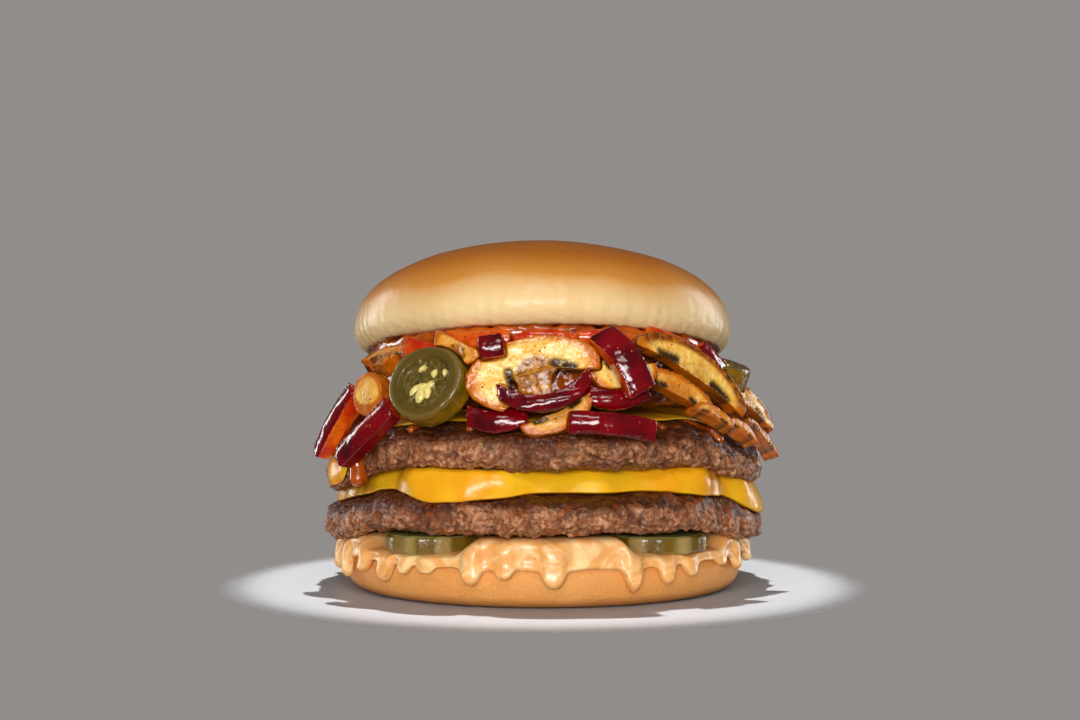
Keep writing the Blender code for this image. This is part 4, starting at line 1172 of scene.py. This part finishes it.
def jalapeno_material(colours):
    """Cooked chilli slice: olive skin, a paler wall and a wet seed chamber."""
    made, tree, place = food_material("cooked_jalapeno", 0.2, coat=0.2, specular=0.35)
    fine = cloud(tree, place, 1.0 * MM, 3.0)
    broad = cloud(tree, place, 6 * MM, 2.0)
    wall = tint(tree, colours.jalapeno_flesh, WALL_DARK, broad, 0.35, 0.7)
    chamber = tint(tree, CHAMBER_DARK, CHAMBER_LIGHT, fine, 0.4, 0.7)
    colour = blend(tree, kept_value(tree, "chamber"), wall, chamber)
    colour = blend(tree, kept_value(tree, "rim"), colour, WALL_RIM)
    skin = tint(tree, colours.jalapeno_skin, CHILLI_DARK, broad, 0.4, 0.7)
    colour = blend(tree, kept_value(tree, "skin"), colour, skin)
    join_shader(tree, colour, fine, (0.1, 0.28), fine, 0.18 * MM)
    return made


def dress_jalapeno(name, radius, spot, tree, sizes, material):
    """One slice with a sunken seed chamber behind its ring of wall."""
    item = rounded_copy(name.replace("jalapeno", "chilli"), name, sizes.slice_voxel, 4)
    mesh = item.data
    own, facing = own_view(mesh, spot)
    reach = np.hypot(own[:, 0], own[:, 1]) / (radius * MM)
    angle = np.arctan2(own[:, 1], own[:, 0])
    flat = smooth_step(0.5, 0.85, facing[:, 2])
    edge = 0.66 + 0.05 * np.sin(3 * angle + 0.4)
    chamber = flat * (1.0 - smooth_step(edge - 0.07, edge + 0.03, reach))
    septum = 1.0 - smooth_step(0.1, 0.3, np.abs(np.sin(1.5 * angle + 0.7)))
    core = 1.0 - smooth_step(0.14, 0.3, reach)
    store(mesh, "chamber", chamber)
    store(mesh, "rim", flat * smooth_step(0.84, 0.93, reach))
    store(mesh, "skin", 1.0 - smooth_step(0.3, 0.6, np.abs(facing[:, 2])))
    dent = -1.5 * MM * chamber * (1.0 - 0.75 * np.maximum(septum, core))
    push_out(mesh, dent)
    roughened(item, tree, JALAPENO_RELIEF, 1.0)
    return finish_piece(item, name, material)


def seed_material(colours):
    """Cream seeds and pith."""
    made, tree, place = food_material("chilli_seed", 0.35, coat=0.2, specular=0.4)
    fine = cloud(tree, place, 0.8 * MM, 3.0)
    colour = tint(tree, SEED_DARK, colours.seed, fine, 0.35, 0.65)
    join_shader(tree, colour, fine, (0.25, 0.5), fine, 0.12 * MM)
    return made


def dress_seeds(slices, material):
    """Seeds and pith that lie in each slice's chamber, drawn in the slice's own frame."""
    bm = bmesh.new()
    for radius, thick, spot in slices:
        for across, up, length, width, turn in SEEDS:
            place = Vector((across * radius * MM, up * radius * MM, (thick / 2 - 0.9) * MM))
            shape = (spot @ Matrix.Translation(place) @ Matrix.Rotation(math.radians(turn), 4, "Z")
                     @ Matrix.Diagonal((length / 2 * MM, width / 2 * MM, 0.8 * MM, 1.0)))
            bmesh.ops.create_uvsphere(bm, u_segments=14, v_segments=9, radius=1.0, matrix=shape)
    for vertex in bm.verts:
        lump = noise.noise(vertex.co / (0.9 * MM))
        vertex.co += Vector((lump, -lump, lump)) * 0.22 * MM
    return finish_piece(object_from(bm, "chilli_seeds"), None, material)


def glaze_material(colours):
    """Thick dark red-brown glaze with finely chopped chilli in it."""
    made, tree, place = food_material("chilli_glaze", 0.14, coat=0.4, coat_rough=0.05,
                                      specular=0.4)
    broad = cloud(tree, place, 9 * MM, 3.0, 0.8)
    fine = cloud(tree, place, 1.5 * MM, 3.0)
    bits = cells(tree, place, 3.0 * MM)
    colour = tint(tree, colours.glaze, GLAZE_LIGHT, broad, 0.42, 0.62)
    colour = tint(tree, colour, GLAZE_BIT, bits, 0.3, 0.22)
    colour = tint(tree, colour, GLAZE_DARK, fine, 0.6, 0.8, 0.5)
    height = maths(tree, "SUBTRACT", fine, maths(tree, "MULTIPLY", bits, 1.5))
    join_shader(tree, colour, fine, (0.08, 0.24), height, 0.35 * MM)
    return made


def dress_core(tree, material):
    """The thick glaze in the middle, which the slices and strips lie against."""
    item = rounded_copy("glazed_middle", "glaze_core", CORE_VOXEL, 4)
    roughened(item, tree, GLAZE_RELIEF, 4.0)
    return finish_piece(item, "glaze_core", material)


def sticky_material():
    """Runny orange glaze with a wet shine."""
    made, tree, place = food_material("runny_glaze", 0.12, coat=0.4, subsurface=0.15,
                                      specular=0.45)
    broad = cloud(tree, place, 5 * MM, 3.0)
    fine = cloud(tree, place, 1.2 * MM, 3.0)
    colour = tint(tree, RUNNY_LIGHT, RUNNY_DEEP, broad, 0.38, 0.66)
    colour = tint(tree, colour, RUNNY_DARK, fine, 0.6, 0.8, 0.5)
    join_shader(tree, colour, fine, (0.06, 0.22), fine, 0.12 * MM)
    return made


def dress_rim_glaze(material):
    """A lumpy bead of glaze all round, where the topping is pressed under the crown."""
    sides, around = RIM_GLAZE_SIDES, RIM_GLAZE_ROUND
    points, faces = [], []
    for side in range(sides):
        ray = toward(360.0 * side / sides)
        wave = noise.noise(ray * 8.0) + 0.6 * noise.noise(ray * 19.0)
        reach = RIM_GLAZE_RADIUS + 0.8 * MM * noise.noise(ray * 5.0)
        seat = CROWN_SEAT - reach * ray.y * math.tan(CROWN_LEAN)
        tall = (2.2 + 1.5 * wave) * MM
        for step in range(around):
            turn = 2.0 * math.pi * step / around
            out = ray * (reach + 1.6 * MM * math.cos(turn))
            points.append(out + Vector((0.0, 0.0, seat - 1.5 * MM + tall * math.sin(turn))))
    for side in range(sides):
        near, far = side * around, (side + 1) % sides * around
        for step in range(around):
            after = (step + 1) % around
            faces.append((near + step, far + step, far + after, near + after))
    return finish_piece(object_of("rim_glaze", points, faces), None, material)


def dress_runs(material):
    """Runs of glaze that hang down the beef, thick at their lower end."""
    bm = bmesh.new()
    for azimuth, high, low, width in GLAZE_RUNS:
        for step in range(RUN_STEPS + 1):
            share = step / RUN_STEPS
            latitude = math.radians(high + (low - high) * share)
            swell = width * MM * (0.55 + 0.45 * share ** 2)
            here = azimuth + 1.6 * noise.noise(Vector((azimuth, share * 2.5, 0.0)))
            spot = beef_point(UPPER_PATTY, here, max(latitude, 0.0), (width - 0.9) ** 2 * MM)
            spot.z += min(latitude, 0.0) * RUN_DROP
            bmesh.ops.create_icosphere(bm, subdivisions=3, radius=swell,
                                       matrix=Matrix.Translation(spot))
    item = object_from(bm, "glaze_runs")
    modified(item, "one skin", "REMESH", mode="VOXEL", voxel_size=RUN_VOXEL)
    modified(item, "smooth run", "SMOOTH", factor=0.5, iterations=8)
    return finish_piece(applied(item), None, material)


def dress_beads(pieces, tree, sizes, material):
    """Beads of glaze, scattered over one mesh of all the slices and strips."""
    bm = bmesh.new()
    for piece in pieces:
        bm.from_mesh(piece.data)
    item = object_from(bm, "glaze_beads")
    store(item.data, "hold", 1.0)
    run_tree(item, tree, {"Density": BEAD_DENSITY, "Smallest": sizes.bead_small,
                          "Largest": sizes.bead_large, "Flatness": BEAD_FLATNESS,
                          "Seed": BEAD_SEED, "Material": material})
    return finish_piece(item, None, material)


# Stage

STAGE_GREY = (0.285, 0.267, 0.256)
AMBIENT_SHARE = 0.4
FLOOR_COLOUR = (0.28, 0.28, 0.29)
FLOOR_GRAIN = 0.96
FLOOR_RADIUS = 2.0
FLOOR_FADE = (0.077, 0.091)
POOL_RADIUS = 0.0865
POOL_HEIGHT = 0.9
POOL_POWER = 78.0
LIGHT_TARGET = (0.0, 0.0, 0.05)

# Soft lights: name, place, width and height, power
SOFT_LIGHTS = (
    ("front_soft", (-0.06, -0.87, 0.17), (0.42, 0.2), 5.7),
    ("upper_soft", (0.0, -0.55, 0.52), (0.3, 0.12), 1.1),
    ("left_edge", (-0.46, 0.26, 0.14), (0.12, 0.36), 1.0),
    ("right_edge", (0.46, 0.26, 0.14), (0.12, 0.36), 1.0),
)
CAMERA_PLACE = (-0.0008, -0.462, 0.0603)
FOCAL_PIXELS = 1700.0
PHOTO_WIDTH = 1080.0
SENSOR_WIDTH = 36.0


def floor_material():
    """Pale floor that fades into the grey of the studio far from the burger."""
    made = bpy.data.materials.new("pale_floor")
    made.use_nodes = True
    tree = made.node_tree
    shader = tree.nodes["Principled BSDF"]
    shader.inputs["Roughness"].default_value = 0.45
    place = tree.nodes.new("ShaderNodeTexCoord").outputs["Object"]
    grain = cloud(tree, place, 0.02, 3.0)
    darker = [FLOOR_GRAIN * share for share in FLOOR_COLOUR]
    tree.links.new(blend(tree, grain, FLOOR_COLOUR, darker), shader.inputs["Base Color"])
    reach = node(tree, "ShaderNodeVectorMath", {0: place}, operation="LENGTH").outputs["Value"]
    alpha = node(tree, "ShaderNodeMapRange",
                 {"Value": reach, "From Min": FLOOR_FADE[0], "From Max": FLOOR_FADE[1],
                  "To Min": 1.0, "To Max": 0.0}, clamp=True, interpolation_type="SMOOTHSTEP")
    tree.links.new(alpha.outputs[0], shader.inputs["Alpha"])
    return made


def aimed(name, data, place, target):
    """A lamp at a place, turned towards a target."""
    lamp = bpy.data.objects.new(name, data)
    lamp.location = place
    lamp.rotation_euler = (Vector(target) - Vector(place)).to_track_quat("-Z", "Y").to_euler()
    bpy.context.scene.collection.objects.link(lamp)
    return lamp


def soft_light(name, place, width, power):
    """A rectangular lamp that faces the middle of the burger."""
    data = bpy.data.lights.new(name, "AREA")
    data.shape = "RECTANGLE"
    data.size, data.size_y = width
    data.energy = power
    aimed(name, data, place, LIGHT_TARGET)


def pool_light(name, power, floor):
    """A lamp above the burger that lights a round pool of floor about it, and only the floor."""
    data = bpy.data.lights.new(name, "SPOT")
    data.energy = power
    data.spot_size = 2.0 * math.atan(POOL_RADIUS / POOL_HEIGHT)
    data.spot_blend = 0.12
    data.shadow_soft_size = 0.01
    lamp = aimed(name, data, (0.0, 0.004, POOL_HEIGHT), (0.0, 0.004, 0.0))
    lit = bpy.data.collections.new("lit by the pool light")
    lit.objects.link(floor)
    lamp.light_linking.receiver_collection = lit


def build_stage():
    """The floor, the grey studio, its lamps and the camera in front."""
    scene = bpy.context.scene
    bm = bmesh.new()
    bmesh.ops.create_circle(bm, cap_ends=True, segments=96, radius=FLOOR_RADIUS)
    floor = object_from(bm, "floor")
    floor.data.materials.append(floor_material())

    world = bpy.data.worlds.new("studio")
    world.use_nodes = True
    grey = world.node_tree.nodes["Background"]
    grey.inputs["Color"].default_value = (*STAGE_GREY, 1.0)
    seen = world.node_tree.nodes.new("ShaderNodeLightPath").outputs["Is Camera Ray"]
    strength = node(world.node_tree, "ShaderNodeMapRange",
                    {"Value": seen, "To Min": AMBIENT_SHARE, "To Max": 1.0})
    world.node_tree.links.new(strength.outputs[0], grey.inputs["Strength"])
    scene.world = world

    for name, place, width, power in SOFT_LIGHTS:
        soft_light(name, place, width, power)
    pool_light("pool", POOL_POWER, floor)

    data = bpy.data.cameras.new("camera")
    data.sensor_width = SENSOR_WIDTH
    data.lens = FOCAL_PIXELS / PHOTO_WIDTH * SENSOR_WIDTH
    camera = bpy.data.objects.new("camera", data)
    camera.location = CAMERA_PLACE
    camera.rotation_euler = (math.radians(90.0), 0.0, 0.0)
    scene.collection.objects.link(camera)
    scene.camera = camera
    scene.view_settings.view_transform = "Standard"


# Operators

class BuildPiece:
    """What the operators share: the values of the panel and the trees."""
    bl_options = {"REGISTER", "UNDO"}
    shared = {}

    @property
    def sizes(self):
        return bpy.context.scene.burger_sizes

    @property
    def colours(self):
        return bpy.context.scene.burger_colours

    def tree(self, maker):
        if maker.__name__ not in self.shared:
            self.shared[maker.__name__] = maker()
        return self.shared[maker.__name__]

    def remember(self, item):
        self.shared.setdefault("topping", []).append(item)


class BURGER_OT_bun(BuildPiece, bpy.types.Operator):
    """Make the crown and the heel"""
    bl_idname = "burger.bun"
    bl_label = "Bun"

    def execute(self, context):
        dress_crown(self.sizes, self.colours)
        dress_heel(self.colours)
        return {"FINISHED"}


class BURGER_OT_patties(BuildPiece, bpy.types.Operator):
    """Make both beef patties"""
    bl_idname = "burger.patties"
    bl_label = "Patties"

    def execute(self, context):
        material = meat_material(self.colours)
        for name, patty in (("patty_lower", LOWER_PATTY), ("patty_upper", UPPER_PATTY)):
            dress_patty(name, patty, self.tree(relief_tree), self.sizes, material)
        return {"FINISHED"}


class BURGER_OT_cheese(BuildPiece, bpy.types.Operator):
    """Make both melted cheese slices"""
    bl_idname = "burger.cheese"
    bl_label = "Cheese"

    def execute(self, context):
        material = cheese_material(self.colours)
        dress_cheese("melt_lower", "cheese_lower", LOWER_PATTY, lower_cheese_edge,
                     LOWER_CHEESE_THICK, UPPER_PATTY, material)
        dress_cheese("melt_upper", "cheese_upper", UPPER_PATTY, upper_cheese_edge,
                     UPPER_CHEESE_THICK, None, material)
        return {"FINISHED"}


class BURGER_OT_sauce(BuildPiece, bpy.types.Operator):
    """Make the sauce and the pickles"""
    bl_idname = "burger.sauce"
    bl_label = "Sauce and pickles"

    def execute(self, context):
        dress_sauce(self.colours)
        dress_pickles(self.sizes, self.colours)
        return {"FINISHED"}


class BURGER_OT_mushrooms(BuildPiece, bpy.types.Operator):
    """Make the glazed mushroom slices"""
    bl_idname = "burger.mushrooms"
    bl_label = "Mushrooms"

    def execute(self, context):
        material = mushroom_material(self.colours)
        tree = self.tree(relief_tree)
        for name, *shape, centre, azimuth, lean, roll, tone in CAP_SLICES:
            spot = placed(centre, azimuth, lean, roll)
            self.remember(dress_mushroom(name, shape, spot, tone, tree, self.sizes, material))
        for name, kind, spot, azimuth in ring_rows():
            if kind == "cap":
                tone = 0.45 + 0.3 * math.sin(azimuth)
                self.remember(dress_mushroom(name, RING_CAP, spot, tone, tree, self.sizes,
                                             material))
        return {"FINISHED"}


class BURGER_OT_peppers(BuildPiece, bpy.types.Operator):
    """Make the fried pepper strips"""
    bl_idname = "burger.peppers"
    bl_label = "Peppers"

    def execute(self, context):
        material = pepper_material(self.colours)
        tree = self.tree(relief_tree)
        for name, _, width, centre, azimuth, lean, roll, face, side in STRIPS:
            spot = placed(centre, azimuth, lean, roll)
            self.remember(dress_pepper(name, width, face, side, spot, tree, self.sizes,
                                       material))
        for name, kind, spot, _ in ring_rows():
            if kind == "strip":
                self.remember(dress_pepper(name, RING_STRIP_WIDTH, "skin", 1, spot, tree,
                                           self.sizes, material))
        return {"FINISHED"}


class BURGER_OT_jalapenos(BuildPiece, bpy.types.Operator):
    """Make the jalapeno slices"""
    bl_idname = "burger.jalapenos"
    bl_label = "Jalapenos"

    def execute(self, context):
        material = jalapeno_material(self.colours)
        tree = self.tree(relief_tree)
        slices = []
        for name, radius, thick, centre, azimuth, lean, roll in JALAPENO_SLICES:
            slices.append((name, radius, thick, placed(centre, azimuth, lean, roll)))
        for name, kind, spot, _ in ring_rows():
            if kind == "round":
                slices.append((name, *RING_ROUND, spot))
        for name, radius, _, spot in slices:
            dress_jalapeno(name, radius, spot, tree, self.sizes, material)
        dress_seeds([row[1:] for row in slices], seed_material(self.colours))
        return {"FINISHED"}


class BURGER_OT_glaze(BuildPiece, bpy.types.Operator):
    """Make the glazed middle and the beads of glaze"""
    bl_idname = "burger.glaze"
    bl_label = "Glaze"

    def execute(self, context):
        material = glaze_material(self.colours)
        runny = sticky_material()
        dress_core(self.tree(relief_tree), material)
        dress_rim_glaze(runny)
        dress_runs(runny)
        dress_beads(self.shared["topping"], self.tree(bead_tree), self.sizes, runny)
        return {"FINISHED"}


class BURGER_OT_stage(BuildPiece, bpy.types.Operator):
    """Make the floor, the lights and the camera"""
    bl_idname = "burger.stage"
    bl_label = "Stage"

    def execute(self, context):
        build_stage()
        return {"FINISHED"}


class BURGER_PT_panel(bpy.types.Panel):
    """Lists the pieces and their values"""
    bl_label = "Chili cheeseburger"
    bl_idname = "BURGER_PT_panel"
    bl_space_type = "VIEW_3D"
    bl_region_type = "UI"
    bl_category = "Burger"

    def draw(self, context):
        for operator in OPERATORS:
            self.layout.operator(operator.bl_idname)
        for group in (context.scene.burger_sizes, context.scene.burger_colours):
            for key in group.bl_rna.properties.keys():
                if key not in ("rna_type", "name"):
                    self.layout.prop(group, key)


OPERATORS = (BURGER_OT_bun, BURGER_OT_patties, BURGER_OT_cheese, BURGER_OT_sauce,
             BURGER_OT_mushrooms, BURGER_OT_peppers, BURGER_OT_jalapenos, BURGER_OT_glaze,
             BURGER_OT_stage)
CLASSES = (BURGER_PG_colours, BURGER_PG_sizes, *OPERATORS, BURGER_PT_panel)


def register():
    for kind in CLASSES:
        bpy.utils.register_class(kind)
    bpy.types.Scene.burger_colours = bpy.props.PointerProperty(type=BURGER_PG_colours)
    bpy.types.Scene.burger_sizes = bpy.props.PointerProperty(type=BURGER_PG_sizes)


def unregister():
    del bpy.types.Scene.burger_sizes
    del bpy.types.Scene.burger_colours
    for kind in reversed(CLASSES):
        bpy.utils.unregister_class(kind)


def main():
    """Builds every piece."""
    register()
    for name in ("bun", "patties", "cheese", "sauce", "mushrooms", "peppers", "jalapenos",
                 "glaze", "stage"):
        getattr(bpy.ops.burger, name)()


if __name__ == "__main__":
    main()
